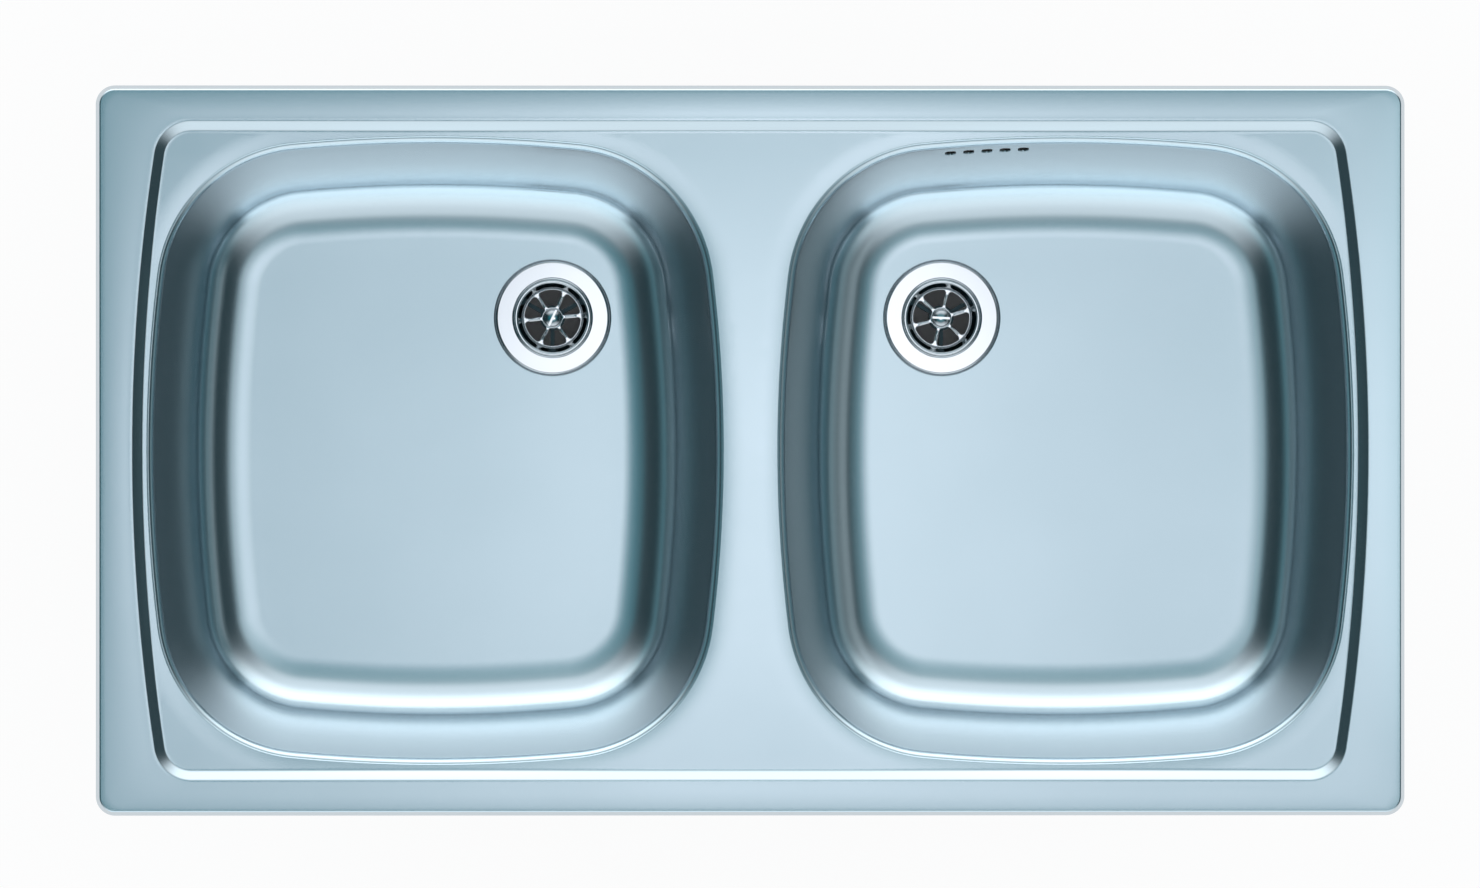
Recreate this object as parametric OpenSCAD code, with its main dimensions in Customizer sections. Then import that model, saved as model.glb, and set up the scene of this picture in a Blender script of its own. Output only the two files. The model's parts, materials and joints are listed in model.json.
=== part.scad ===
// Inset kitchen sink with two equal bowls, seen in a top mounted fitting.
// Millimetres. z = 0 is the worktop, the origin is the middle of the sink,
// +X is to the right, +Y to the back and +Z up.

/* [Rim] */
// Width of the sink over its rolled edge
rim_w = 780; // [770:1:820]
// Depth of the sink from front to back
rim_d = 435; // [430:1:470]
// Corner radius of the rolled edge, seen from above
rim_corner_r = 11.5; // [8:0.5:30]
// Height of the flat rim over the worktop
rim_h = 5; // [4:0.25:8]
// Radius of the rolled edge
edge_r = 2.4; // [1.6:0.1:3]
// Space left between the rolled edge and the worktop
edge_gap = 0.4; // [0.2:0.1:0.8]
// Thickness of the deck sheet
deck_t = 0.8; // [0.6:0.1:1.2]

/* [Pressed step] */
// Width of the flat rim at the middle of the left and right sides
rim_side_w = 22; // [21:0.5:30]
// Width of the flat rim at the front and the back
rim_end_w = 21.4; // [20.4:0.2:30]
// Radius of the bowed sides of the step
step_side_r = 1190; // [900:10:3000]
// Corner radius of the step
step_corner_r = 22; // [15:1:40]
// Width of the sloped band of the step
step_band = 5.2; // [4:0.1:5.6]
// How far the deck inside the step lies under the rim
step_drop = 2.5; // [1.5:0.1:3]
// Width of the bend at each edge of the band
step_bend = 0.9; // [0.4:0.1:1.2]

/* [Bowls] */
// Width of the web of deck between the outer lines of the two bowls
web_w = 31.4; // [28:0.2:60]
// Distance from the step's top line to a bowl at the left and right sides
bowl_side_gap = 7.7; // [7:0.1:20]
// Distance from the step's top line to a bowl at the front and the back
bowl_end_gap = 8.3; // [7.5:0.1:20]
// Radius of the bowed left and right sides
bowl_side_r = 860; // [600:10:2000]
// Radius of the bowed front and back sides
bowl_end_r = 900; // [600:10:2000]
// Corner radius of a bowl
bowl_corner_r = 90; // [80:1:110]
// Depth from the deck to the bowl's floor
bowl_depth = 150; // [120:1:200]
// Slope of the walls from the vertical, in degrees
wall_draft = 9.5; // [6:0.5:12]
// Radius between the walls and the floor
floor_fillet_r = 27; // [18:1:32]
// Radius where the wall rolls over into the flange
entry_r = 2.5; // [1.5:0.1:4]
// Thickness of the bowl sheet
bowl_t = 0.8; // [0.6:0.1:1.2]
// How far the ledge round a bowl lies under the deck
ledge_drop = 0.8; // [0.4:0.1:1.2]
// Width of the ledge with its little slope
ledge_w = 2.8; // [2:0.1:4]
// Width of the slope down to the ledge
ledge_slope = 0.8; // [0.4:0.1:1.2]
// How far the bowl's flange reaches out under the deck
flange_reach = 2; // [1:0.5:2.4]

/* [Drain] */
// Distance of each drain from the bowl's outer line beside the web
drain_side = 102.3; // [98:0.1:140]
// Distance of each drain from the bowl's outer line at the back
drain_end = 107.8; // [98:0.1:150]
// Diameter of the pressed seat round the drain
seat_d = 72.5; // [70:0.5:80]
// Depth of that seat under the floor
seat_depth = 2.5; // [2:0.1:4]
// Diameter of the hole in the seat
drain_hole_d = 54; // [52:0.5:56]
// Diameter of the polished flange
flange_d = 68; // [64:0.5:69]
// Thickness of the flange and its cup
flange_t = 1; // [0.8:0.1:1.2]
// Inner diameter of the cup at its top
cup_top_d = 46; // [40:0.5:47]
// Inner diameter of the cup at its bottom
cup_bottom_d = 36; // [34:0.5:38]
// Depth of the cup from the flange to the grid
cup_depth = 14; // [10:0.5:18]
// Number of spokes in the grid
spokes = 6; // [4:1:8]
// Width of a spoke
spoke_w = 2.1; // [1.8:0.1:3]
// Width of a spoke where it flares into the rim of the grid
spoke_foot_w = 5.5; // [4:0.1:7]
// Outer diameter of the openings between the spokes
grid_d = 34; // [30:0.5:34]
// Diameter of the plate in the middle of the grid
grid_hub_d = 14.2; // [13:0.1:16]
// Turn of the left grid, in degrees
left_grid_turn = 5; // [0:1:60]
// Turn of the right grid, in degrees
right_grid_turn = 16; // [0:1:60]
// Turn of the screw slot in the left drain, in degrees
left_slot_turn = 65; // [-90:1:90]
// Turn of the screw slot in the right drain, in degrees
right_slot_turn = -3; // [-90:1:90]
// Thickness of the flat seal under the flange
flange_seal_t = 0.8; // [0.5:0.1:1]
// Thickness of the seal between bowl and waste body
body_seal_t = 2; // [1.5:0.1:3]
// Width of the ring of both seals
seal_ring_w = 5.5; // [4:0.5:6]

/* [Waste body] */
// Outer diameter of the body's top flange
body_flange_d = 69; // [66:0.5:72]
// Thickness of that flange
body_flange_t = 4; // [3:0.5:6]
// Outer diameter of the barrel
barrel_d = 58; // [56.5:0.5:62]
// Wall of the barrel
barrel_wall = 3; // [2.5:0.1:3]
// Length of the barrel
barrel_len = 27; // [24:1:40]
// Length of the funnel between barrel and spigot
funnel_len = 7; // [5:1:12]
// Outer diameter of the spigot for the trap's nut
spigot_d = 47.8; // [46:0.1:48]
// Length of the spigot
spigot_len = 20; // [16:1:30]
// Bore of the spigot
spigot_bore = 40; // [34:0.5:42]
// Width of the collar over the spigot
collar_w = 3; // [2:0.5:4]
// Number of ribs that carry the hub
hub_ribs = 3; // [3:1:4]
// Thickness of the ribs
rib_t = 2.4; // [2:0.1:3]
// Diameter of the hub that holds the nut
hub_d = 15; // [13:0.5:16]
// Length of the hub
hub_len = 18; // [15:1:20]
// Space between the hub and the grid
hub_gap = 0.3; // [0.2:0.1:0.5]
// How far the ribs' upper edges lie under the top of the hub
rib_down = 2; // [1:0.5:4]
// Number of grip ribs round the barrel
grip_ribs = 16; // [8:2:24]
// Width of a grip rib
grip_w = 2; // [1.5:0.1:4]
// How far the grip ribs stand out
grip_h = 1.5; // [1:0.1:2.5]
// Distance of the grip ribs' lower ends from the funnel
grip_up = 4; // [2:0.5:8]
// Diameter of the screw's shank
drain_screw_d = 6; // [5:0.5:6]
// Diameter of the screw's head
drain_head_d = 10.6; // [10:0.1:11.2]
// Height of the screw's head with its sunk cone
drain_head_h = 2.4; // [2:0.1:3]
// Width of the slot in the screw's head
drain_slot_w = 1.3; // [1:0.1:2]
// Depth of that slot
drain_slot_h = 1.1; // [0.8:0.1:1.4]
// Length of the screw under its head
drain_screw_len = 24; // [18:1:28]
// Outer diameter of the brass nut in the hub
insert_d = 9; // [8.4:0.1:10]
// Length of the brass nut
insert_len = 9; // [7:0.5:11]
// Distance of the nut under the top of the hub
insert_down = 4; // [2:0.5:6]

/* [Overflow] */
// Number of slots in the back wall of the right bowl
overflow_slots = 5; // [3:1:5]
// Width of a slot
slot_w = 6.5; // [4:0.5:7]
// Height of a slot
slot_h = 13; // [10:0.5:16]
// Distance between the slots
slot_pitch = 11; // [9:0.5:11.5]
// Distance of the slots' middle from the bowl's outer line beside the web
overflow_side = 125.3; // [118:0.1:170]
// Depth of the slots' middle under the deck
overflow_down = 20; // [18:0.5:24]
// Height of the overflow housing
housing_h = 30; // [26:1:36]
// How far the housing stands out behind the wall
housing_depth = 23; // [22:0.5:25]
// Wall of the housing
housing_wall = 2; // [1.6:0.1:3]
// Corner radius of the housing and its ears
housing_r = 6; // [5:0.5:6]
// Thickness of the housing's seal
housing_seal_t = 2; // [1.5:0.1:3]
// Width of the ear with the stud hole at each end of the housing
ear_w = 11; // [10:0.5:14]
// Height of the ears
ear_h = 13.2; // [12:0.2:20]
// Thickness of the ears
ear_t = 3; // [2:0.5:4]
// Diameter of the weld studs
stud_d = 5; // [4:0.5:6]
// Width of the stud nuts across their flats
stud_nut_af = 8; // [7:0.5:9]
// Height of the stud nuts
stud_nut_h = 4; // [3:0.5:5]
// How far the studs stand out of their nuts
stud_tip = 2; // [1:0.5:5]
// Outer diameter of the hose spigots
hose_d = 18; // [16:0.5:18]
// Wall of the hose spigots
hose_wall = 2; // [1.5:0.1:2.5]
// Length of the hose spigots past their collars
hose_len = 20; // [18:1:30]
// How far the collar stands out round a hose spigot
hose_collar_w = 2; // [1.5:0.5:2]
// How far the inlet's collar stands out of the barrel
inlet_collar_t = 2; // [1.6:0.2:3]
// How far the spout's collar reaches down under the housing
spout_collar_t = 3; // [2.4:0.2:5]

/* [Seal and pads] */
// Width of the foam seal under the rim
seal_w = 7; // [5:0.5:8]
// Distance of the seal from the curve of the rolled edge
seal_in = 0.2; // [0.1:0.1:1]
// Width of a sound pad
pad_w = 200; // [120:5:220]
// Depth of a sound pad
pad_d = 120; // [80:5:140]
// Thickness of a sound pad
pad_t = 2.5; // [1.5:0.5:4]
// Corner radius of a sound pad
pad_r = 12; // [5:1:30]
// Middle of the pad in front of the middle of the bowl
pad_front = 60; // [50:1:65]

/* [Clamps] */
// How far the sink overlaps the worktop round its cut-out
cutout_in = 10; // [9:0.5:10.5]
// Distance of the outer clamps at front and back from the middle
clamp_x = 250; // [200:1:300]
// Distance of a bracket inside the cut-out's edge
bracket_in = 1.8; // [1.2:0.1:2.4]
// Space between a bracket and the pressed step
bracket_gap = 1.2; // [1:0.1:2]
// Depth of the pivot under the worktop
pivot_down = 5; // [4.5:0.5:8]
// Diameter of the pivot pin
pivot_d = 4; // [3:0.5:4]
// Running clearance of the pivot, on the radius
pivot_fit = 0.05; // [0.03:0.01:0.1]
// Wall of the eye rolled round the pivot
eye_wall = 1.8; // [1.2:0.1:2]
// Thickness of the leg's strip
leg_t = 1.5; // [1.2:0.1:2]
// Width of the leg's strip
leg_w = 17; // [15:0.5:20]
// Space between the leg and each cheek of its bracket
leg_fit = 0.3; // [0.2:0.05:0.5]
// Length of the leg under its window
leg_tail = 5; // [3:0.5:8]
// Thickness of the bracket's sheet
bracket_t = 1.2; // [1:0.1:1.5]
// Height of the rivet's heads
rivet_h = 0.8; // [0.6:0.1:1.2]
// Width of the claw's arm
claw_w = 9; // [7:0.5:10]
// Thickness of the claw
claw_t = 2.5; // [2:0.1:3]
// How far the claw grips past the edge of the cut-out
claw_reach = 9; // [7:0.5:9.5]
// Height of the claw's toothed end
tooth_h = 5; // [3:0.5:6]
// Depth of the teeth's tips under the worktop with the claw let down
claw_down = 40.8; // [38:0.2:44]
// Travel of the claw along its screw
claw_travel = 12.8; // [8:0.8:12.8]
// Diameter of the clamp screw
clamp_screw_d = 5; // [4:0.5:5]
// Diameter of the clamp screw's head
clamp_head_d = 9.2; // [8:0.1:9.6]
// Height of the clamp screw's head
clamp_head_h = 3.4; // [2.5:0.1:4]
// Space between that head and the leg
clamp_head_gap = 1; // [0.5:0.1:2]
// Width of the cross slot in that head
clamp_slot_w = 1.2; // [1:0.1:1.6]
// How far the screw stands out over its thread with the claw let down
clamp_tip = 3; // [2:0.5:6]
// Clearance of the claw in its window, to each side
claw_fit = 0.3; // [0.2:0.05:0.5]
// Space over the claw in its window at the end of its travel
claw_room = 1.5; // [1:0.1:3]

/* [Hidden] */

$fn = 64;

// Outer sizes of the step, the bowls and the worktop's cut-out
step_w = rim_w - 2 * rim_side_w;
step_d = rim_d - 2 * rim_end_w;
bowl_w = (step_w - web_w) / 2 - bowl_side_gap;
bowl_d = step_d - 2 * bowl_end_gap;
bowl_pitch = bowl_w + web_w;
cutout_w = rim_w - 2 * cutout_in;
cutout_d = rim_d - 2 * cutout_in;

// Heights that several pieces share
deck_z = rim_h - step_drop;
ledge_z = deck_z - ledge_drop;
flange_z = ledge_z - deck_t;
floor_z = deck_z - bowl_depth;
rim_under = rim_h - deck_t;

// Steps along an eighth of an outline: along the bowed side, round the corner
side_steps = 3;
corner_steps = 11;
entry_steps = 3;
fillet_steps = 6;
edge_steps = 4;

// How far a cut runs past the faces that it goes through
cut = 1;
// Length of a cut through the bowed wall of a bowl
wall_cut = 6.4;

// Gap between a soft seal and the bowed wall that it lies on
wall_gap = 0.35;
// Clearance round a screw that passes through a hole, on the diameter
hole_fit = 0.6;
// Clearance of a screw in its thread, on the diameter
thread_fit = 0.1;

// Outlines seen from above

// Middle of the corner arc that is tangent to two arcs on the axes
function corner_centre(a, b, side_r, end_r, r, c, n = 60) =
    n == 0 ? c : corner_centre(a, b, side_r, end_r, r,
        [a - side_r + sqrt(pow(side_r - r, 2) - pow(c[1], 2)),
         b - end_r + sqrt(pow(end_r - r, 2) - pow(c[0], 2))], n - 1);

function arc(c, r, from, to, n) =
    [for (i = [0:n]) let (t = from + (to - from) * i / n) [c[0] + r * cos(t), c[1] + r * sin(t)]];

// A quarter of an outline with bowed sides, from the X axis to the Y axis
function bowed_quarter(a, b, side_r, end_r, r, inset) =
    let (c = corner_centre(a, b, side_r, end_r, r, [a - r, b - r]),
        side_end = atan2(c[1], c[0] - a + side_r),
        end_start = 90 - atan2(c[0], c[1] - b + end_r))
    concat(
        arc([a - side_r, 0], side_r - inset, 0, side_end, side_steps),
        arc(c, r - inset, side_end, end_start, corner_steps),
        arc([0, b - end_r], end_r - inset, end_start, 90, side_steps));

// A quarter with bowed sides and straight ends
function straight_quarter(a, b, side_r, r, inset) =
    let (cy = b - r,
        cx = a - side_r + sqrt(pow(side_r - r, 2) - pow(cy, 2)),
        side_end = atan2(cy, cx - a + side_r))
    concat(
        arc([a - side_r, 0], side_r - inset, 0, side_end, side_steps),
        arc([cx, cy], r - inset, side_end, 90, corner_steps),
        [for (i = [0:side_steps]) [cx * (1 - i / side_steps), b - inset]]);

// A quarter of a rectangle with round corners
function square_quarter(a, b, r, inset) =
    concat(
        [for (i = [0:side_steps]) [a - inset, (b - r) * i / side_steps]],
        arc([a - r, b - r], r - inset, 0, 90, corner_steps),
        [for (i = [0:side_steps]) [(a - r) * (1 - i / side_steps), b - inset]]);

// Each arc ends where the next one starts, so the doubled points are left out
function thinned(q) =
    [for (i = [0:len(q) - 1]) if (i != side_steps && i != side_steps + corner_steps + 1) q[i]];

function turned_back(q) = [for (i = [len(q) - 1:-1:0]) q[i]];

function inner_points(q) = [for (i = [1:len(q) - 2]) q[i]];

// The whole outline, anticlockwise, from its quarter
function whole(q) =
    let (t = thinned(q), m = inner_points(t))
    concat(t,
        [for (p = turned_back(m)) [-p[0], p[1]]],
        [for (p = t) [-p[0], -p[1]]],
        [for (p = turned_back(m)) [p[0], -p[1]]]);

function bowl_line(inset) =
    whole(bowed_quarter(bowl_w / 2, bowl_d / 2, bowl_side_r, bowl_end_r, bowl_corner_r, inset));
function step_line(inset) =
    whole(straight_quarter(step_w / 2, step_d / 2, step_side_r, step_corner_r, inset));
function rim_line(inset) =
    whole(square_quarter(rim_w / 2, rim_d / 2, rim_corner_r, inset));

// Solids lofted through outlines

function at_height(outline, z) = [for (p = outline) [p[0], p[1], z]];

// Sides between ring k and ring k + 1 of n points each
function loft_sides(n, rings) =
    [for (k = [0:rings - 2], i = [0:n - 1])
        [k * n + i, (k + 1) * n + i, (k + 1) * n + (i + 1) % n, k * n + (i + 1) % n]];

// A solid through a list of rings, with a flat face over the first and the last
module loft(rings) {
    n = len(rings[0]);
    m = len(rings);
    polyhedron(
        points = [for (r = rings, p = r) p],
        faces = concat(
            [[for (i = [0:n - 1]) i]],
            loft_sides(n, m),
            [[for (i = [n - 1:-1:0]) (m - 1) * n + i]]));
}

// A closed ring swept round an outline, from a loop of rings
module closed_loft(rings) {
    n = len(rings[0]);
    m = len(rings);
    polyhedron(
        points = [for (r = rings, p = r) p],
        faces = concat(
            loft_sides(n, m),
            [for (i = [0:n - 1]) [(m - 1) * n + i, i, (i + 1) % n, (m - 1) * n + (i + 1) % n]]));
}

// Deck

// Rings of the rolled edge, t inside the outer face
function edge_rings(t) =
    concat(
        [at_height(rim_line(t), edge_gap)],
        [for (i = [0:edge_steps]) let (s = 90 * i / edge_steps)
            at_height(rim_line(edge_r - (edge_r - t) * cos(s)),
                rim_h - edge_r + (edge_r - t) * sin(s))]);

// Rings of the pressed step, t under the upper face
function step_rings(t) = [
    at_height(step_line(-step_bend / 2), rim_h - t),
    at_height(step_line(step_bend / 2), rim_h - step_drop * step_bend / step_band / 2 - t),
    at_height(step_line(step_band - step_bend / 2),
        deck_z + step_drop * step_bend / step_band / 2 - t),
    at_height(step_line(step_band + step_bend / 2), deck_z - t)];

module deck_sheet() {
    loft(concat(
        turned_back(step_rings(deck_t)),
        turned_back(edge_rings(deck_t)),
        edge_rings(0),
        step_rings(0)));
}

// The ledge round a bowl's opening, with a tongue that joins it to the deck's cut edge
module ledge() {
    tongue = deck_t / 2;
    tongue_t = 0.4 * deck_t;
    closed_loft([
        at_height(bowl_line(0), deck_z),
        at_height(bowl_line(ledge_slope), ledge_z),
        at_height(bowl_line(ledge_w), ledge_z),
        at_height(bowl_line(ledge_w), flange_z),
        at_height(bowl_line(ledge_slope / 2), flange_z),
        at_height(bowl_line(0), deck_z - deck_t),
        at_height(bowl_line(-tongue), deck_z - (deck_t + tongue_t) / 2),
        at_height(bowl_line(-tongue), deck_z - (deck_t - tongue_t) / 2)]);
}

module at_bowls() {
    for (side = [-1, 1]) translate([side * bowl_pitch / 2, 0, 0]) children();
}

module deck() {
    color([0.72, 0.78, 0.81]) {
        difference() {
            deck_sheet();
            at_bowls() translate([0, 0, flange_z - cut])
                linear_extrude(deck_z - flange_z + 2 * cut) polygon(bowl_line(0));
        }
        at_bowls() ledge();
    }
}

// Bowls

// Where the wall starts under the rolled entry and ends over the floor's fillet
wall_top_in = ledge_w + entry_r * cos(wall_draft);
wall_top_z = flange_z - entry_r * (1 - sin(wall_draft));
wall_end_z = floor_z + floor_fillet_r * (1 - sin(wall_draft));
wall_end_in = wall_top_in + (wall_top_z - wall_end_z) * tan(wall_draft);
floor_in = wall_end_in + floor_fillet_r * cos(wall_draft);

// Rings down the bowl's wall, t outside the wet face
function bowl_rings(t) =
    concat(
        [for (i = [0:entry_steps]) let (s = (90 - wall_draft) * i / entry_steps)
            at_height(bowl_line(ledge_w + (entry_r - t) * sin(s)),
                flange_z - entry_r + (entry_r - t) * cos(s))],
        [for (i = [0:fillet_steps])
            let (s = wall_draft + (90 - wall_draft) * i / fillet_steps)
            at_height(bowl_line(floor_in - (floor_fillet_r + t) * cos(s)),
                floor_z + floor_fillet_r - (floor_fillet_r + t) * sin(s))]);

module bowl_shell() {
    loft(concat(
        turned_back(bowl_rings(bowl_t)),
        [at_height(bowl_line(-flange_reach), flange_z - bowl_t),
         at_height(bowl_line(-flange_reach), flange_z)],
        bowl_rings(0)));
}

// The seat pressed into the floor for the drain's flange
module drain_seat() {
    rotate_extrude() polygon([
        [drain_hole_d / 2, -seat_depth],
        [seat_d / 2, -seat_depth],
        [seat_d / 2, -bowl_t / 2],
        [seat_d / 2 + bowl_t, -bowl_t / 2],
        [seat_d / 2 + bowl_t, -seat_depth - bowl_t],
        [drain_hole_d / 2, -seat_depth - bowl_t]]);
}

// Puts a drain piece into the left bowl (side -1) or the right one (side 1)
module at_drain(side) {
    translate([side * (web_w / 2 + drain_side), bowl_d / 2 - drain_end, floor_z]) children();
}

module bowl(side) {
    difference() {
        translate([side * bowl_pitch / 2, 0, 0]) bowl_shell();
        at_drain(side) translate([0, 0, -cut - bowl_t]) cylinder(h = 2 * cut + bowl_t, d = seat_d);
    }
    at_drain(side) drain_seat();
}

module left_bowl() {
    color([0.66, 0.75, 0.79]) bowl(-1);
}

// Overflow, in a frame whose origin is on the wall's outer face with +Z out of the wall

overflow_z = deck_z - overflow_down;
overflow_wall_in = wall_top_in + (wall_top_z - overflow_z) * tan(wall_draft) - bowl_t / cos(wall_draft);
overflow_x = web_w / 2 + overflow_side;
overflow_turn = asin((bowl_pitch / 2 - overflow_x) / bowl_end_r);
overflow_y = bowl_d / 2 - bowl_end_r + (bowl_end_r - overflow_wall_in) * cos(overflow_turn);

module at_overflow() {
    translate([overflow_x, overflow_y, overflow_z]) rotate([0, 0, overflow_turn])
        rotate([-90 - wall_draft, 0, 0]) children();
}

module slot(w, h, t) {
    for (s = [-1, 1]) translate([0, s * (h - w) / 2, 0]) cylinder(h = t, d = w, center = true);
    cube([w, h - w, t], center = true);
}

module right_bowl() {
    color([0.66, 0.75, 0.79]) difference() {
        bowl(1);
        at_overflow() for (i = [0:overflow_slots - 1])
            translate([(i - (overflow_slots - 1) / 2) * slot_pitch, 0, 0])
                slot(slot_w, slot_h, wall_cut);
    }
}

// Seal and pads

module round_box(w, d, r, h) {
    linear_extrude(h) {
        square([w - 2 * r, d], center = true);
        square([w, d - 2 * r], center = true);
        for (x = [-1, 1], y = [-1, 1]) translate([x * (w / 2 - r), y * (d / 2 - r)]) circle(r);
    }
}

module rim_seal() {
    outer_in = edge_r + seal_in;
    inner_in = outer_in + seal_w;
    color([0.22, 0.23, 0.24]) difference() {
        round_box(rim_w - 2 * outer_in, rim_d - 2 * outer_in, rim_corner_r - outer_in, rim_under);
        translate([0, 0, -cut])
            round_box(rim_w - 2 * inner_in, rim_d - 2 * inner_in,
                rim_corner_r - outer_in, rim_under + 2 * cut);
    }
}

module sound_pad(side) {
    color([0.3, 0.31, 0.32])
        translate([side * bowl_pitch / 2, -pad_front, floor_z - bowl_t - pad_t])
        round_box(pad_w, pad_d, pad_r, pad_t);
}

// Drain

flange_seal_z = -seat_depth + flange_seal_t;
cup_floor_z = flange_seal_z + flange_t - cup_depth;
screw_seat_z = cup_floor_z + flange_t;
dish_depth = 0.8 * flange_t;

// One opening of the grid, centred on the +X axis
module grid_opening() {
    step = 360 / spokes;
    foot_start = grid_d / 2 - spoke_foot_w / 2;
    difference() {
        circle(d = grid_d);
        circle(d = grid_hub_d);
        for (s = [-1, 1]) rotate(s * step / 2) {
            translate([0, -spoke_w / 2]) square([grid_d, spoke_w]);
            polygon([
                [foot_start, -spoke_w / 2],
                [grid_d, -spoke_foot_w],
                [grid_d, spoke_foot_w],
                [foot_start, spoke_w / 2]]);
        }
        rotate(step / 2) square([grid_d, 2 * grid_d]);
        rotate(-step / 2) translate([0, -2 * grid_d]) square([grid_d, 2 * grid_d]);
        translate([-grid_d, -grid_d]) square([grid_d, 2 * grid_d]);
    }
}

module strainer_flange(turn) {
    lip_r = cup_top_d / 2;
    lip_h = flange_t / 2;
    end_r = cup_bottom_d / 2;
    color([0.86, 0.88, 0.9]) difference() {
        rotate_extrude() polygon([
            [0, cup_floor_z],
            [end_r + flange_t, cup_floor_z],
            [lip_r + flange_t, flange_seal_z],
            [flange_d / 2, flange_seal_z],
            [flange_d / 2, flange_seal_z + flange_t / 2],
            [flange_d / 2 - flange_t, flange_seal_z + flange_t],
            [lip_r + flange_t, flange_seal_z + flange_t + lip_h],
            [lip_r, flange_seal_z + flange_t],
            [end_r, cup_floor_z + flange_t],
            [0, cup_floor_z + flange_t]]);
        translate([0, 0, cup_floor_z - cut]) linear_extrude(flange_t + 2 * cut)
            for (i = [0:spokes - 1]) rotate(turn + (i + 0.5) * 360 / spokes) grid_opening();
        translate([0, 0, cup_floor_z - cut]) cylinder(h = flange_t + 2 * cut, d = drain_screw_d + hole_fit);
        translate([0, 0, screw_seat_z - dish_depth])
            cylinder(h = dish_depth + 0.01, d1 = drain_screw_d + hole_fit, d2 = drain_head_d + hole_fit);
    }
}

module flange_seal() {
    color([0.12, 0.12, 0.13]) translate([0, 0, -seat_depth]) difference() {
        cylinder(h = flange_seal_t, d = drain_hole_d + 2 * seal_ring_w);
        translate([0, 0, -cut]) cylinder(h = flange_seal_t + 2 * cut, d = drain_hole_d);
    }
}

body_seal_z = -seat_depth - bowl_t - body_seal_t;

module body_seal() {
    color([0.12, 0.12, 0.13]) translate([0, 0, body_seal_z]) difference() {
        cylinder(h = body_seal_t, d = drain_hole_d + 2 * seal_ring_w);
        translate([0, 0, -cut]) cylinder(h = body_seal_t + 2 * cut, d = drain_hole_d);
    }
}

// Waste body

barrel_end = body_seal_z - body_flange_t - barrel_len;
spigot_top = barrel_end - funnel_len;
spigot_end = spigot_top - spigot_len;
hub_top = cup_floor_z - hub_gap;
insert_top = hub_top - insert_down;

inlet_z = barrel_end + barrel_len / 2;

module waste_body(with_inlet) {
    barrel_bore = barrel_d - 2 * barrel_wall;
    inlet_len = barrel_wall + inlet_collar_t + hose_len;
    color([0.93, 0.93, 0.92]) difference() {
        union() {
            difference() {
                union() {
                    rotate_extrude() polygon([
                        [0, body_seal_z],
                        [body_flange_d / 2, body_seal_z],
                        [body_flange_d / 2, body_seal_z - body_flange_t],
                        [barrel_d / 2, body_seal_z - body_flange_t],
                        [barrel_d / 2, barrel_end],
                        [spigot_d / 2 + collar_w, spigot_top + collar_w],
                        [spigot_d / 2 + collar_w, spigot_top],
                        [spigot_d / 2, spigot_top],
                        [spigot_d / 2, spigot_end],
                        [0, spigot_end]]);
                    for (i = [0:grip_ribs - 1]) rotate(i * 360 / grip_ribs)
                        translate([barrel_d / 2 - barrel_wall / 2, -grip_w / 2, barrel_end + grip_up])
                        cube([barrel_wall / 2 + grip_h, grip_w, barrel_len - grip_up]);
                    if (with_inlet) translate([0, barrel_bore / 2, inlet_z]) rotate([-90, 0, 0]) {
                        cylinder(h = barrel_wall + inlet_collar_t, d = hose_d + 2 * hose_collar_w);
                        cylinder(h = inlet_len, d = hose_d);
                    }
                }
                rotate_extrude() polygon([
                    [0, body_seal_z + cut],
                    [barrel_bore / 2, body_seal_z + cut],
                    [barrel_bore / 2, barrel_end + barrel_wall / 2],
                    [spigot_bore / 2, spigot_top],
                    [spigot_bore / 2, spigot_end - cut],
                    [0, spigot_end - cut]]);
                if (with_inlet) translate([0, 0, inlet_z]) rotate([-90, 0, 0])
                    translate([0, 0, barrel_bore / 2 - 2 * cut])
                    cylinder(h = inlet_len + 4 * cut, d = hose_d - 2 * hose_wall);
            }
            translate([0, 0, hub_top - hub_len]) cylinder(h = hub_len, d = hub_d);
            for (i = [0:hub_ribs - 1]) rotate(-90 + i * 360 / hub_ribs)
                translate([0, -rib_t / 2, hub_top - hub_len])
                cube([(barrel_bore + barrel_wall) / 2, rib_t, hub_len - rib_down]);
        }
        translate([0, 0, hub_top - hub_len - cut])
            cylinder(h = hub_len + 2 * cut, d = drain_screw_d + hole_fit);
        translate([0, 0, insert_top - insert_len]) cylinder(h = insert_len, d = insert_d);
    }
}

module drain_screw(turn) {
    head_top = screw_seat_z + drain_head_h - dish_depth;
    color([0.78, 0.8, 0.82]) difference() {
        union() {
            translate([0, 0, screw_seat_z - dish_depth])
                cylinder(h = dish_depth, d1 = drain_screw_d, d2 = drain_head_d);
            translate([0, 0, screw_seat_z])
                cylinder(h = head_top - screw_seat_z, d1 = drain_head_d, d2 = 0.8 * drain_head_d);
            translate([0, 0, screw_seat_z - drain_screw_len])
                cylinder(h = drain_screw_len, d = drain_screw_d);
        }
        translate([0, 0, head_top]) rotate(turn)
            cube([2 * drain_head_d, drain_slot_w, 2 * drain_slot_h], center = true);
    }
}

module insert_nut() {
    color([0.75, 0.62, 0.32]) translate([0, 0, insert_top - insert_len]) difference() {
        cylinder(h = insert_len, d = insert_d);
        translate([0, 0, -cut]) cylinder(h = insert_len + 2 * cut, d = drain_screw_d + thread_fit);
    }
}

// Overflow housing

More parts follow.
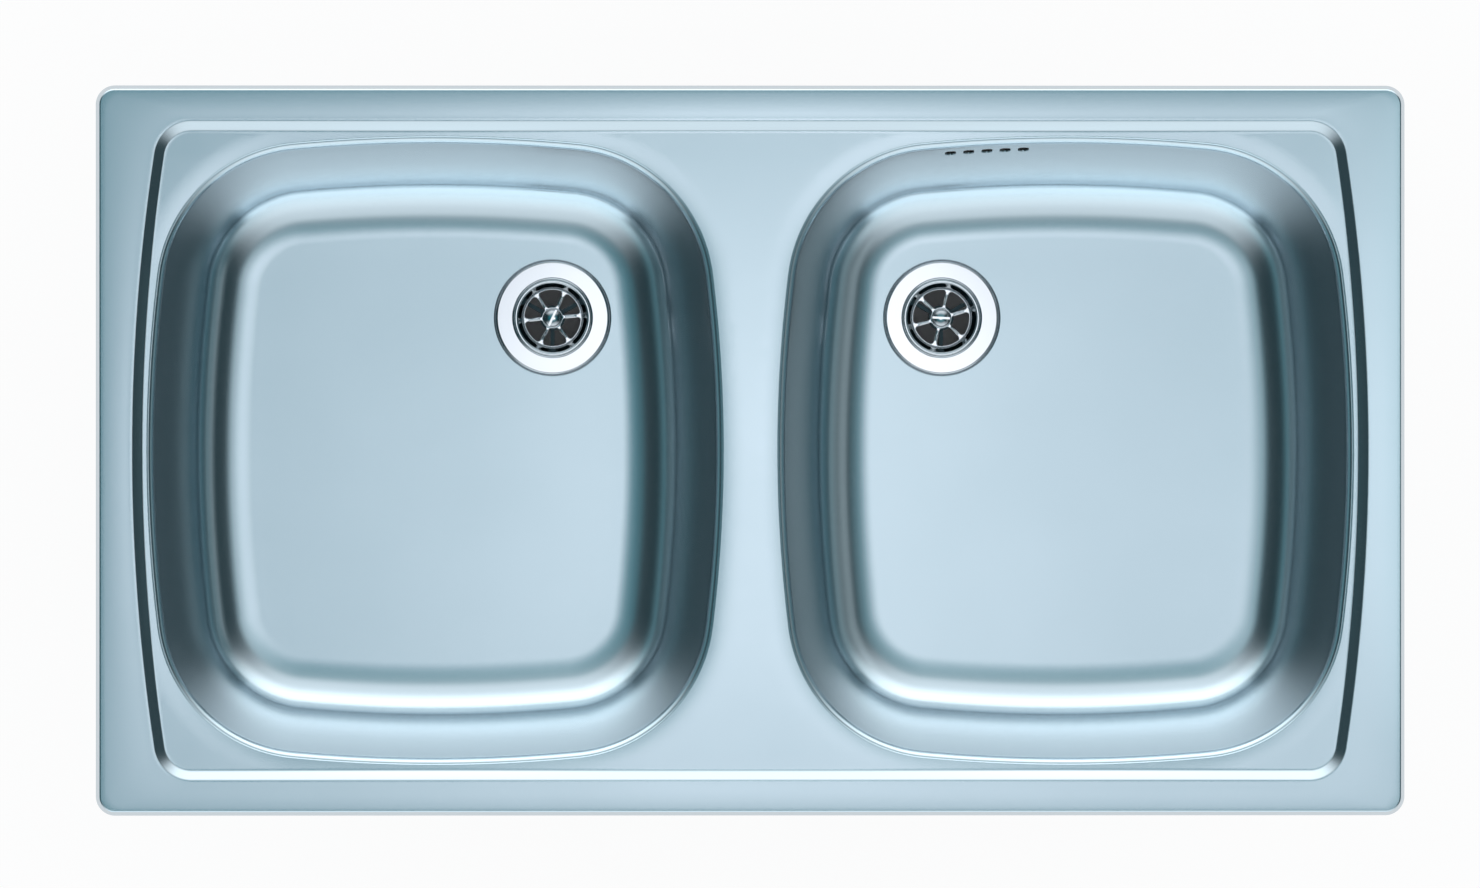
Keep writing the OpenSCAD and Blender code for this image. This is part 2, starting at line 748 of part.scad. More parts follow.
slots_w = (overflow_slots - 1) * slot_pitch + slot_w;
chamber_w = slots_w + slot_pitch / 2;
chamber_h = housing_h - 2 * housing_wall;
housing_w = chamber_w + 2 * housing_wall;
housing_z = wall_gap + housing_seal_t;
stud_x = housing_w / 2 + ear_w / 2;

// Puts a round piece straight down from the middle of the housing
module at_spout() {
    translate([0, 0, (housing_z + housing_depth) / 2]) rotate([wall_draft - 90, 0, 0]) children();
}

module at_studs() {
    for (s = [-1, 1]) translate([s * stud_x, 0, 0]) children();
}

module overflow_housing() {
    collar_end = housing_h / 2 + spout_collar_t;
    spout_len = collar_end + hose_len;
    color([0.93, 0.93, 0.92]) difference() {
        union() {
            translate([0, 0, housing_z]) {
                round_box(housing_w, housing_h, housing_r, housing_depth - housing_z);
                round_box(housing_w + 2 * ear_w, ear_h, housing_r, ear_t);
            }
            at_spout() {
                cylinder(h = spout_len, d = hose_d);
                translate([0, 0, housing_h / 4])
                    cylinder(h = collar_end - housing_h / 4, d = hose_d + 2 * hose_collar_w);
            }
        }
        translate([0, 0, housing_z - cut])
            round_box(chamber_w, chamber_h, housing_r - housing_wall,
                housing_depth - housing_z - housing_wall + cut);
        at_spout() cylinder(h = spout_len + cut, d = hose_d - 2 * hose_wall);
        at_studs() cylinder(h = housing_depth, d = stud_d + hole_fit);
    }
}

module overflow_seal() {
    color([0.12, 0.12, 0.13]) translate([0, 0, wall_gap]) difference() {
        round_box(housing_w, housing_h, housing_r, housing_seal_t);
        translate([0, 0, -cut])
            round_box(chamber_w, chamber_h, housing_r - housing_wall, housing_seal_t + 2 * cut);
    }
}

// The wall bows away from the flat housing, so the studs start a little lower
stud_base = wall_gap - pow(stud_x, 2) / bowl_end_r / 2;
stud_foot_t = 1;
nut_z = housing_z + ear_t;

module overflow_studs() {
    color([0.7, 0.72, 0.74]) at_studs() translate([0, 0, stud_base]) {
        cylinder(h = stud_foot_t, d = 2 * stud_d);
        cylinder(h = nut_z + stud_nut_h + stud_tip - stud_base, d = stud_d);
    }
}

module overflow_nuts() {
    color([0.7, 0.72, 0.74]) at_studs() translate([0, 0, nut_z]) difference() {
        cylinder(h = stud_nut_h, d = stud_nut_af / cos(30), $fn = 6);
        translate([0, 0, -cut]) cylinder(h = stud_nut_h + 2 * cut, d = stud_d + thread_fit);
    }
}

// Clamps, in a frame whose origin is on the worktop's top edge of the cut-out,
// with +X out over the worktop and +Y along the edge

bracket_len = min(rim_side_w, rim_end_w) - cutout_in - bracket_in - bracket_gap;
pivot_in = bracket_in + bracket_len / 2;
eye_r = pivot_d / 2 + pivot_fit + eye_wall;
leg_out = -pivot_in + eye_r;
leg_in = leg_out - leg_t;
claw_top = -claw_down - tooth_h;
claw_bottom = claw_top - claw_t;
window_w = claw_w + 2 * claw_fit;
window_bottom = claw_bottom - claw_fit;
window_top = claw_top + claw_travel + claw_room;
leg_bottom = window_bottom - leg_tail;
clamp_screw_x = leg_in - clamp_head_d / 2 - clamp_head_gap;
tab_end = clamp_screw_x - claw_w / 2;
screw_tip = window_top + leg_t + clamp_tip;

// The eight clamps run clockwise from the left end of the back edge
module at_clamp(i) {
    along = [-clamp_x, 0, clamp_x, 0, clamp_x, 0, -clamp_x, 0][i - 1];
    if (i <= 3) translate([along, cutout_d / 2, 0]) rotate(90) children();
    if (i == 4) translate([cutout_w / 2, 0, 0]) children();
    if (i > 4 && i < 8) translate([along, -cutout_d / 2, 0]) rotate(-90) children();
    if (i == 8) translate([-cutout_w / 2, 0, 0]) rotate(180) children();
}

// Extrudes a drawing in the XZ plane to width w along Y, about y = 0
module across(w) {
    translate([0, w / 2, 0]) rotate([90, 0, 0]) linear_extrude(w) children();
}

module clamp_bracket() {
    inner_w = leg_w + 2 * leg_fit;
    color([0.6, 0.62, 0.64]) {
        translate([-pivot_in - bracket_len / 2, -inner_w / 2 - bracket_t, rim_under - bracket_t])
            cube([bracket_len, inner_w + 2 * bracket_t, bracket_t]);
        for (s = [-1, 1]) translate([0, s * (inner_w + bracket_t) / 2, 0]) across(bracket_t) {
            translate([-pivot_in, -pivot_down]) circle(d = bracket_len);
            translate([-pivot_in - bracket_len / 2, -pivot_down])
                square([bracket_len, pivot_down + rim_under]);
        }
        translate([-pivot_in, 0, -pivot_down]) rotate([90, 0, 0]) {
            cylinder(h = inner_w + 2 * bracket_t + 2 * rivet_h, d = pivot_d, center = true);
            for (s = [-1, 1]) translate([0, 0, s * (inner_w / 2 + bracket_t + rivet_h / 2)])
                cylinder(h = rivet_h, d = 1.5 * pivot_d, center = true);
        }
    }
}

module clamp_brackets() {
    for (i = [1:8]) at_clamp(i) clamp_bracket();
}

module clamp_leg() {
    color([0.68, 0.7, 0.72]) difference() {
        union() {
            across(leg_w) {
                translate([-pivot_in, -pivot_down]) circle(eye_r);
                translate([leg_in, leg_bottom]) square([leg_t, -pivot_down - leg_bottom]);
            }
            translate([tab_end, -claw_w / 2, window_top]) cube([leg_out - tab_end, claw_w, leg_t]);
        }
        translate([-pivot_in, 0, -pivot_down]) rotate([90, 0, 0])
            cylinder(h = leg_w + 2 * cut, d = pivot_d + 2 * pivot_fit, center = true);
        translate([leg_in - cut, -window_w / 2, window_bottom])
            cube([leg_t + 2 * cut, window_w, window_top - window_bottom]);
        translate([clamp_screw_x, 0, window_top - cut])
            cylinder(h = leg_t + 2 * cut, d = clamp_screw_d + thread_fit);
    }
}

module clamp_claw() {
    color([0.68, 0.7, 0.72]) difference() {
        union() {
            translate([clamp_screw_x, 0, claw_bottom]) cylinder(h = claw_t, d = claw_w);
            translate([clamp_screw_x, -claw_w / 2, claw_bottom])
                cube([claw_reach - clamp_screw_x, claw_w, claw_t]);
            translate([claw_reach - claw_t, -claw_w / 2, claw_bottom])
                cube([claw_t, claw_w, claw_t + tooth_h]);
        }
        // Two teeth with a V between them and bevelled outer corners
        translate([claw_reach, 0, -claw_down]) rotate([0, 90, 0]) for (y = [-claw_w / 2, 0, claw_w / 2])
            translate([0, y, 0]) rotate(45) cube([claw_w / 4, claw_w / 4, 3 * claw_t], center = true);
        translate([clamp_screw_x, 0, claw_bottom - cut])
            cylinder(h = claw_t + 2 * cut, d = clamp_screw_d + hole_fit);
    }
}

module clamp_screw() {
    color([0.78, 0.76, 0.66]) translate([clamp_screw_x, 0, claw_bottom]) difference() {
        union() {
            translate([0, 0, -clamp_head_h]) cylinder(h = clamp_head_h, d = clamp_head_d);
            cylinder(h = screw_tip - claw_bottom, d = clamp_screw_d);
        }
        for (turn = [0, 90]) rotate(turn) translate([0, 0, -clamp_head_h])
            cube([0.6 * clamp_head_d, clamp_slot_w, clamp_head_h], center = true);
    }
}

deck();
left_bowl();
right_bowl();
rim_seal();
sound_pad(-1);  // left_sound_pad
sound_pad(1);  // right_sound_pad
at_drain(-1) strainer_flange(left_grid_turn);  // left_strainer_flange
at_drain(-1) flange_seal();  // left_flange_seal
at_drain(-1) body_seal();  // left_body_seal
at_drain(-1) waste_body(false);  // left_waste_body
at_drain(-1) drain_screw(left_slot_turn);  // left_drain_screw
at_drain(-1) insert_nut();  // left_insert_nut
at_drain(1) strainer_flange(right_grid_turn);  // right_strainer_flange
at_drain(1) flange_seal();  // right_flange_seal
at_drain(1) body_seal();  // right_body_seal
at_drain(1) waste_body(true);  // right_waste_body
at_drain(1) drain_screw(right_slot_turn);  // right_drain_screw
at_drain(1) insert_nut();  // right_insert_nut
at_overflow() overflow_housing();
at_overflow() overflow_seal();
at_overflow() overflow_studs();
at_overflow() overflow_nuts();
clamp_brackets();
for (i = [1:8]) {
    at_clamp(i) clamp_leg();
    at_clamp(i) clamp_claw();
    at_clamp(i) clamp_screw();
}
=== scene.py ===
# A kitchen sink with two bowls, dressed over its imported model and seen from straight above.
import json
from math import asin, atan2, cos, hypot, pi, radians, sin, sqrt, tan

import bmesh
import bpy
import numpy as np
from mathutils import Matrix, Vector, geometry


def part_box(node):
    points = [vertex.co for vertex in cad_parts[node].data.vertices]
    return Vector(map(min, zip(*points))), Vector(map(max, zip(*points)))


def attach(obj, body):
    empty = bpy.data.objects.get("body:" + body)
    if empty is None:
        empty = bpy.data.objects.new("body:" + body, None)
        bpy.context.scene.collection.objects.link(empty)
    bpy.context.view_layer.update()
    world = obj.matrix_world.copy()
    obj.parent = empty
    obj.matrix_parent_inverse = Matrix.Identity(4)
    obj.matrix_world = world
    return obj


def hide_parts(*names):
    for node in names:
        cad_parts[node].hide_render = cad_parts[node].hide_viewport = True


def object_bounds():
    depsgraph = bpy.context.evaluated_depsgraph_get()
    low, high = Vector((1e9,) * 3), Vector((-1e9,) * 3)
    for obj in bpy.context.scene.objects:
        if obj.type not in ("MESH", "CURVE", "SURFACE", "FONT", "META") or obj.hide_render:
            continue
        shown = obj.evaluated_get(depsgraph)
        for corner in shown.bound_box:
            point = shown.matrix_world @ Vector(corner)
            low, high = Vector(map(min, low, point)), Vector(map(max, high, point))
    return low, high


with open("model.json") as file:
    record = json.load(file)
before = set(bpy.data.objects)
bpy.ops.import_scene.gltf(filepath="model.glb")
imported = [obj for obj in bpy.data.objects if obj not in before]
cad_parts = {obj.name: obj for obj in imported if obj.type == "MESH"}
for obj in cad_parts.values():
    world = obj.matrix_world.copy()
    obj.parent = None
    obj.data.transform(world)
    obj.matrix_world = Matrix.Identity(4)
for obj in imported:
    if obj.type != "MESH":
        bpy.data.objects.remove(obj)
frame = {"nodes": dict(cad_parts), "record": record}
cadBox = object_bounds()

mm = 0.001

# The right bowl's drain and its pressed seat, in millimetres. The left one is its mirror image.
drain = {"x": 118, "y": 80, "seatRadius": 34.95, "seatDepth": 2.5, "holeRadius": 27, "seatBend": 0.55}


# Shader nodes

class Wire:
    # The output of a node, which adds Math nodes when it is used in an expression
    def __init__(self, graph, socket):
        self.graph = graph
        self.socket = socket

    def math(self, operation, first, second):
        return self.graph.add("ShaderNodeMath", {"operation": operation}, {0: first, 1: second})

    def __add__(self, other):
        return self.math("ADD", self, other)

    def __radd__(self, other):
        return self.math("ADD", other, self)

    def __sub__(self, other):
        return self.math("SUBTRACT", self, other)

    def __rsub__(self, other):
        return self.math("SUBTRACT", other, self)

    def __mul__(self, other):
        return self.math("MULTIPLY", self, other)

    def __rmul__(self, other):
        return self.math("MULTIPLY", other, self)

    def __truediv__(self, other):
        return self.math("DIVIDE", self, other)

    def __abs__(self):
        return self.math("ABSOLUTE", self, 0.0)

    def __pow__(self, other):
        return self.math("POWER", self, other)


class Graph:
    # The node tree of a material, a lamp or the world
    def __init__(self, owner):
        owner.use_nodes = True
        self.tree = owner.node_tree
        self.tree.nodes.clear()

    def add(self, kind, settings=None, inputs=None, output=0):
        node = self.tree.nodes.new(kind)
        for key, value in (settings or {}).items():
            setattr(node, key, value)
        for key, value in (inputs or {}).items():
            if isinstance(value, Wire):
                self.tree.links.new(value.socket, node.inputs[key])
            else:
                node.inputs[key].default_value = value
        return Wire(self, node.outputs[output]) if len(node.outputs) else None

    def blend(self, factor, first, second):
        # A Mix node's colours are its inputs 6 and 7, and its colour output is 2
        return self.add("ShaderNodeMix", {"data_type": "RGBA"}, {0: factor, 6: first, 7: second}, 2)

    def stretch(self, vector, scale):
        return self.add("ShaderNodeVectorMath", {"operation": "MULTIPLY"}, {0: vector, 1: scale})

    def split(self, vector, count=3):
        source = self.add("ShaderNodeSeparateXYZ", {}, {0: vector}).socket.node
        return [Wire(self, source.outputs[i]) for i in range(count)]

    def noise(self, vector, scale, detail):
        return self.add("ShaderNodeTexNoise", {}, {"Vector": vector, "Scale": scale, "Detail": detail})

    def ease(self, value, low, high, start=0.0, end=1.0):
        # From one level to another while the value goes from low to high
        return self.add("ShaderNodeMapRange", {"interpolation_type": "SMOOTHSTEP"},
                        {0: value, 1: low, 2: high, 3: start, 4: end})

    def shades(self, tint, colour, grain):
        # Between a darker and a lighter shade of one colour
        dark, light = (rgb(*(min(1.0, c * grain[key]) for c in colour[:3])) for key in ("dark", "light"))
        return self.blend(tint, dark, light)

    def shader(self, colour, metallic, rough, bump, strength, distance):
        normal = self.add("ShaderNodeBump", {}, {"Strength": strength, "Distance": distance, "Height": bump})
        surface = self.add("ShaderNodeBsdfPrincipled", {}, {"Base Color": colour, "Metallic": metallic,
                                                            "Roughness": rough, "Normal": normal})
        self.add("ShaderNodeOutputMaterial", {}, {"Surface": surface})


def rgb(red, green, blue):
    return (red, green, blue, 1.0)


# The metals. The brush is a noise's scale along each axis, so the deck's fine lines run along x.
steelFinishes = {
    "deckSteel": {"colour": rgb(0.665, 0.72, 0.755), "roughness": 0.22, "brush": (7, 1500, 1500),
                  "streak": 0.03, "cloud": 0.02, "groove": 0.001},
    "bowlSteel": {"colour": rgb(0.665, 0.72, 0.755), "roughness": 0.22, "brush": (600, 600, 600),
                  "streak": 0.02, "cloud": 0.02, "groove": 0.001},
    "polishedSteel": {"colour": rgb(0.62, 0.62, 0.63), "roughness": 0.1, "brush": (900, 900, 900),
                      "streak": 0.02, "cloud": 0.03, "groove": 0.003},
    "zincSteel": {"colour": rgb(0.56, 0.58, 0.60), "roughness": 0.38, "brush": (60, 60, 240),
                  "streak": 0.08, "cloud": 0.12, "groove": 0.12},
    "brassMetal": {"colour": rgb(0.78, 0.62, 0.32), "roughness": 0.3, "brush": (50, 50, 700),
                   "streak": 0.06, "cloud": 0.1, "groove": 0.1},
}

steelGrain = {
    "hairScale": 3.1, "lines": 0.6, "hair": 0.4, "cloudScale": 11.0, "cloudTint": 4, "brushTint": 1.2,
    "dark": 0.97, "light": 1.03, "height": 0.2 * mm,
}


def makeSteel(name, finish):
    material = bpy.data.materials.new(name)
    graph, grain = Graph(material), steelGrain
    place = graph.add("ShaderNodeTexCoord", output="Object")
    fine = tuple(grain["hairScale"] * scale for scale in finish["brush"])
    lines = graph.noise(graph.stretch(place, finish["brush"]), 1.0, 4.0)
    hair = graph.noise(graph.stretch(place, fine), 1.0, 2.0)
    cloud = graph.noise(place, grain["cloudScale"], 3.0)
    brushed = grain["lines"] * lines + grain["hair"] * hair
    tint = 0.5 + finish["cloud"] * grain["cloudTint"] * (cloud - 0.5) + grain["brushTint"] * (brushed - 0.5)
    colour = graph.shades(tint, finish["colour"], grain)
    rough = finish["roughness"] + finish["streak"] * (brushed - 0.5) + finish["cloud"] * (cloud - 0.5)
    graph.shader(colour, 1.0, rough, brushed, finish["groove"], grain["height"])
    return material


# Plastic, rubber, foam and the bitumen of the sound pads. Inside a drain's throat the white plastic is
# painted dark as painted shade, fading in between two distances from the middle of the drain.
softFinishes = {
    "whitePlastic": {"colour": rgb(0.86, 0.87, 0.86), "roughness": 0.42, "grain": 900, "depth": 0.1,
                     # painted shade: the dark colour that the throat of each waste is painted with
                     "inside": rgb(0.01, 0.045, 0.06), "shadedThroat": (21.4 * mm, 22.6 * mm)},
    "sealRubber": {"colour": rgb(0.035, 0.036, 0.038), "roughness": 0.62, "grain": 700, "depth": 0.2},
    "foamSeal": {"colour": rgb(0.11, 0.115, 0.12), "roughness": 0.9, "grain": 1500, "depth": 0.6},
    "padBitumen": {"colour": rgb(0.09, 0.093, 0.097), "roughness": 0.8, "grain": 420, "depth": 0.5},
}

softGrain = {
    "cloudScale": 25.0, "cloudTint": 0.5, "grainTint": 0.6, "dark": 0.88, "light": 1.1,
    "cloudRough": 0.12, "grainRough": 0.1, "height": 0.3 * mm,
}


def makeSoft(name, finish):
    material = bpy.data.materials.new(name)
    graph, soft = Graph(material), softGrain
    place = graph.add("ShaderNodeTexCoord", output="Object")
    grain = graph.noise(place, finish["grain"], 3.0)
    cloud = graph.noise(place, soft["cloudScale"], 3.0)
    tint = 0.5 + soft["cloudTint"] * (cloud - 0.5) + soft["grainTint"] * (grain - 0.5)
    colour = graph.shades(tint, finish["colour"], soft)
    if "shadedThroat" in finish:
        # Painted shade: the inside of each waste's throat is coloured dark, where shade falls
        x, y = graph.split(place, 2)
        across, along = abs(x) - drain["x"] * mm, y - drain["y"] * mm
        away = (across * across + along * along) ** 0.5
        colour = graph.blend(graph.ease(away, *finish["shadedThroat"]), finish["inside"], colour)
    rough = finish["roughness"] + soft["cloudRough"] * (cloud - 0.5) + soft["grainRough"] * (grain - 0.5)
    graph.shader(colour, 0.0, rough, grain, finish["depth"], soft["height"])
    return material


slotOf = {part["node"]: part["material_slot"] for part in frame["record"]["subparts"]}
finishes = {name: makeSteel(name, finish) for name, finish in steelFinishes.items()}
finishes.update({name: makeSoft(name, finish) for name, finish in softFinishes.items()})
slotFinish = {
    "deck_steel": "deckSteel", "bowl_steel": "bowlSteel", "polished_steel": "polishedSteel",
    "zinc_steel": "zincSteel", "brass": "brassMetal", "white_plastic": "whitePlastic",
    "seal_rubber": "sealRubber", "foam_seal": "foamSeal", "sound_pad": "padBitumen",
}
print("finishes made:", len(finishes))


# Outlines seen from above, in millimetres

straight = 1e8  # radius of a side that isn't bowed
outlineSteps = {"side": 14, "corner": 30}
turnSteps = 96  # steps round the drains


def arcPoints(x, y, radius, start, end, steps):
    return [(x + radius * cos(start + (end - start) * i / steps),
             y + radius * sin(start + (end - start) * i / steps)) for i in range(steps + 1)]


def circle(radius, steps):
    return arcPoints(0, 0, radius, 0, 2 * pi, steps)[:-1]


class Outline:
    # Four bowed or straight sides with round corners, the same number of points at every inset
    def __init__(self, width, depth, cornerRadius, sideRadius=straight, endRadius=straight, middle=0.0):
        self.a, self.b, self.r = width / 2, depth / 2, cornerRadius
        self.sideR, self.endR, self.middle = sideRadius, endRadius, middle
        x, y = self.a - self.r, self.b - self.r
        for _ in range(60):  # each coordinate of the corner's centre depends on the other
            x, y = (self.a - sideRadius + sqrt((sideRadius - self.r) ** 2 - y * y),
                    self.b - endRadius + sqrt((endRadius - self.r) ** 2 - x * x))
        self.corner = (x, y)
        self.sideEnd = atan2(y, x - self.a + sideRadius)
        self.endStart = pi / 2 - atan2(x, y - self.b + endRadius)

    def at(self, inset):
        side, corner = outlineSteps["side"], outlineSteps["corner"]
        quarter = arcPoints(self.a - self.sideR, 0, self.sideR - inset, 0, self.sideEnd, side)[:-1]
        quarter += arcPoints(*self.corner, self.r - inset, self.sideEnd, self.endStart, corner)[:-1]
        quarter += arcPoints(0, self.b - self.endR, self.endR - inset, self.endStart, pi / 2, side)
        back = quarter[-2:0:-1]
        ring = (quarter + [(-x, y) for x, y in back] + [(-x, -y) for x, y in quarter]
                + [(x, -y) for x, y in back])
        return [(x + self.middle, y) for x, y in ring]


def lift(line, height):
    # Puts a flat line at one height, or at a height for each of its points
    heights = np.broadcast_to(height, len(line))
    return [(x, y, z) for (x, y), z in zip(line, heights)]


def between(first, second, share):
    return [tuple(p + (q - p) * share for p, q in zip(a, b)) for a, b in zip(first, second)]


def distanceTo(points, line):
    # How far each point lies from a closed line
    p = np.asarray(points, float)[:, None, :2]
    a = np.asarray(line, float)[None, :, :2]
    d = np.roll(a, -1, axis=1) - a
    t = np.clip(((p - a) * d).sum(2) / (d * d).sum(2), 0, 1)
    return np.sqrt((((a + t[..., None] * d) - p) ** 2).sum(2)).min(1)


def isInside(points, line):
    p = np.asarray(points, float)[:, None, :2]
    a = np.asarray(line, float)[None, :, :2]
    b = np.roll(a, -1, axis=1)
    crosses = (a[..., 1] > p[..., 1]) != (b[..., 1] > p[..., 1])
    with np.errstate(divide="ignore", invalid="ignore"):
        x = a[..., 0] + (p[..., 1] - a[..., 1]) * (b[..., 0] - a[..., 0]) / (b[..., 1] - a[..., 1])
    return (crosses & (p[..., 0] < x)).sum(1) % 2 == 1


def outset(loop, distance):
    # Moves a closed line outwards along its normals
    points = np.array(loop)
    along = np.roll(points, -1, axis=0) - np.roll(points, 1, axis=0)
    normals = np.stack([along[:, 1], -along[:, 0]], 1) / np.hypot(*along.T)[:, None]
    area = (points[:, 0] * np.roll(points[:, 1], -1) - np.roll(points[:, 0], -1) * points[:, 1]).sum()
    return points + normals * (distance if area > 0 else -distance)


class Sheet:
    # Gathers points and faces in millimetres, and makes one piece of them
    def __init__(self):
        self.points = []
        self.faces = []

    def loft(self, rings, skip=None):
        # Faces between closed rings, apart from those that are skipped by ring and point
        start, count = len(self.points), len(rings[0])
        for ring in rings:
            self.points += ring
        for k in range(len(rings) - 1):
            a, b = start + k * count, start + (k + 1) * count
            for i in range(count):
                if skip is None or not skip(k, i):
                    j = (i + 1) % count
                    self.faces.append((a + i, a + j, b + j, b + i))

    def cap(self, ring):
        start = len(self.points)
        self.points += ring
        self.faces.append(tuple(range(start, start + len(ring))))

    def lathe(self, profile, steps=turnSteps, middle=(0.0, 0.0)):
        # Profile points are (radius, height)
        turns = [2 * pi * i / steps for i in range(steps)]
        self.loft([[(middle[0] + r * cos(t), middle[1] + r * sin(t), z) for t in turns] for r, z in profile])

    def strip(self, first, second):
        # Faces between two open lines
        start, count = len(self.points), len(first)
        self.points += list(first) + list(second)
        self.faces += [(start + i, start + i + 1, start + count + i + 1, start + count + i)
                       for i in range(count - 1)]

    def ridge(self, thread, low, high, columns):
        # The ridge of a thread, swept up a helix from one height to another. Its crest is a narrow flat.
        core, pitch, crest = thread["radius"] - thread["threadDepth"], thread["pitch"], (0.42, 0.58)
        section = [(core, 0.0), (thread["radius"], crest[0]), (thread["radius"], crest[1]), (core, 1.0)]
        lines = []
        for k in range(int(((high - low) / pitch - 1) * columns) + 1):
            turn, rise = 2 * pi * k / columns, low + pitch * k / columns
            lines.append([(r * cos(turn), r * sin(turn), rise + share * pitch) for r, share in section])
        for first, second in zip(lines, lines[1:]):
            self.strip(first, second)

    def patch(self, outer, holes, seeds, height):
        # A flat region with holes, in triangles, lifted by a rule that takes all of its points
        loops = [outer] + holes
        flat, edges = [], []
        for loop in loops:
            first = len(flat)
            flat += [Vector(p[:2]) for p in loop]
            edges += [(first + i, first + (i + 1) % len(loop)) for i in range(len(loop))]
        flat += [Vector(p) for p in seeds]
        found, _, triangles, *_ = geometry.delaunay_2d_cdt(flat, edges, [], 0, 1e-6)
        corners = np.array([tuple(p) for p in found])
        middles = corners[np.array(triangles)].mean(1)
        kept = isInside(middles, outer)
        for hole in holes:
            kept &= ~isInside(middles, hole)
        start = len(self.points)
        self.points += lift(corners, height(corners))
        self.faces += [tuple(start + i for i in t) for t, keep in zip(triangles, kept) if keep]

    def mesh(self, weld=0.004):
        made = bpy.data.meshes.new("sheet")
        made.from_pydata([tuple(c * mm for c in p) for p in self.points], [], self.faces)
        work = bmesh.new()
        work.from_mesh(made)
        bmesh.ops.remove_doubles(work, verts=work.verts, dist=weld * mm)
        loose = [v for v in work.verts if not v.link_faces]
        bmesh.ops.delete(work, geom=loose, context="VERTS")
        bmesh.ops.dissolve_degenerate(work, edges=work.edges, dist=1e-7)
        bmesh.ops.recalc_face_normals(work, faces=work.faces)
        work.to_mesh(made)
        work.free()
        return made


def addPiece(name, mesh, body, slot, replaced, sharp=32, place=None):
    # Puts a finished mesh on its body, in the place of the solids that it stands for
    mesh.name = name
    if place is not None:
        mesh.transform(place)
    mesh.shade_smooth()
    mesh.set_sharp_from_angle(angle=radians(sharp))
    mesh.materials.clear()
    mesh.materials.append(finishes[slotFinish[slot]])
    piece = bpy.data.objects.new(name, mesh)
    bpy.context.scene.collection.objects.link(piece)
    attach(piece, body)
    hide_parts(*replaced)
    return piece


def clearSeeds(points, outer, holes, margin):
    # The points in a region that keep clear of its edges
    kept = isInside(points, outer) & (distanceTo(points, outer) > margin)
    for hole in holes:
        kept &= ~isInside(points, hole) & (distanceTo(points, hole) > margin)
    return [tuple(p) for p in np.array(points)[kept]]


def gridSeeds(outer, holes, spacing, margin):
    # Points of a triangular grid
    line = np.array(outer)[:, :2]
    low, high = line.min(0), line.max(0)
    rows = np.arange(low[1], high[1], spacing * sqrt(3) / 2)
    points = [(x + spacing / 2 * (k % 2), y) for k, y in enumerate(rows)
              for x in np.arange(low[0], high[0], spacing)]
    return clearSeeds(points, outer, holes, margin)


# The deck: rolled edge, rim, pressed step, lower deck and a ledge round each bowl

deckLow, deckHigh = (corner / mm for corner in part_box("deck"))
bowlLow, bowlHigh = (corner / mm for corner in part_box("left_bowl"))
deck = {
    "width": deckHigh.x - deckLow.x, "depth": deckHigh.y - deckLow.y, "cornerRadius": 11.5,
    "top": deckHigh.z, "sheet": 0.8, "edgeGap": deckLow.z,
    "edgeBend": 1.3, "skirtTilt": radians(62),  # the rim bends down to a steep skirt
    "footHeight": 0.35, "footInset": 0.15,  # the skirt's foot turns down over the worktop
    "rimSide": 22, "rimEnd": 21.4, "stepSideRadius": 1190, "stepCornerRadius": 22, "stepDrop": 2.5,
    "ledgeDrop": 0.8, "ledgeWidth": 2.8, "ledgeBend": 1.2,
    "crown": 0.09,  # how far the rim falls towards both of its edges
    "dip": 0.3, "dipReach": 12,  # the lower deck is drawn in round the bowls
    "dipRings": (0.4, 1.2, 2.4, 4, 6.2, 9, 12), "clear": 0.35, "bendSteps": 10, "rimSteps": 8,
}
deck["low"] = deck["top"] - deck["stepDrop"]
deck["ledge"] = deck["low"] - deck["ledgeDrop"]
deck["flange"] = deck["ledge"] - deck["sheet"]

wallDraft = 9.5  # degrees from upright
bowl = {
    "flangeReach": 2, "cornerRadius": 90, "sideRadius": 860, "endRadius": 900,
    "depth": 150, "draft": radians(wallDraft), "sheet": 0.8, "seatRings": (0.25, 0.8, 2, 4),
    "entryReach": 2.47, "entryTilt": radians(38),  # the roll from the ledge into the wall
    # Radii of the floor fillet from the floor up, each as far as a tilt in degrees, the last to the wall's
    "fillet": [(85, 9), (33, 43), (6, 90 - wallDraft)],
    "rise": 1.4, "levelRadius": 44, "fallLength": 240,  # the floor climbs from the drain to its far corner
}
bowl["width"] = bowlHigh.x - bowlLow.x - 2 * bowl["flangeReach"]
bowl["length"] = bowlHigh.y - bowlLow.y - 2 * bowl["flangeReach"]
bowl["middle"] = -(bowlHigh.x + bowlLow.x) / 2
bowl["floor"] = deck["low"] - bowl["depth"]

rimLine = Outline(deck["width"], deck["depth"], deck["cornerRadius"])
stepLine = Outline(deck["width"] - 2 * deck["rimSide"], deck["depth"] - 2 * deck["rimEnd"],
                   deck["stepCornerRadius"], deck["stepSideRadius"])
bowlLines = {side: Outline(bowl["width"], bowl["length"], bowl["cornerRadius"], bowl["sideRadius"],
                           bowl["endRadius"], side * bowl["middle"]) for side in (-1, 1)}

# Tilt of the pressed step along its inset, in degrees: soft shoulders and two tight bends
stepTilt = [(-2.6, 0), (-1.2, 1.6), (-0.55, 5), (0.35, 25), (4.85, 25), (5.75, 5), (6.3, 1.6), (7.3, 0)]


def dropsAlong(tilts, pace):
    # Adds tilts in degrees up to drops
    slopes = np.tan(np.radians(tilts))
    return np.concatenate([[0], np.cumsum((slopes[1:] + slopes[:-1]) / 2 * pace)])


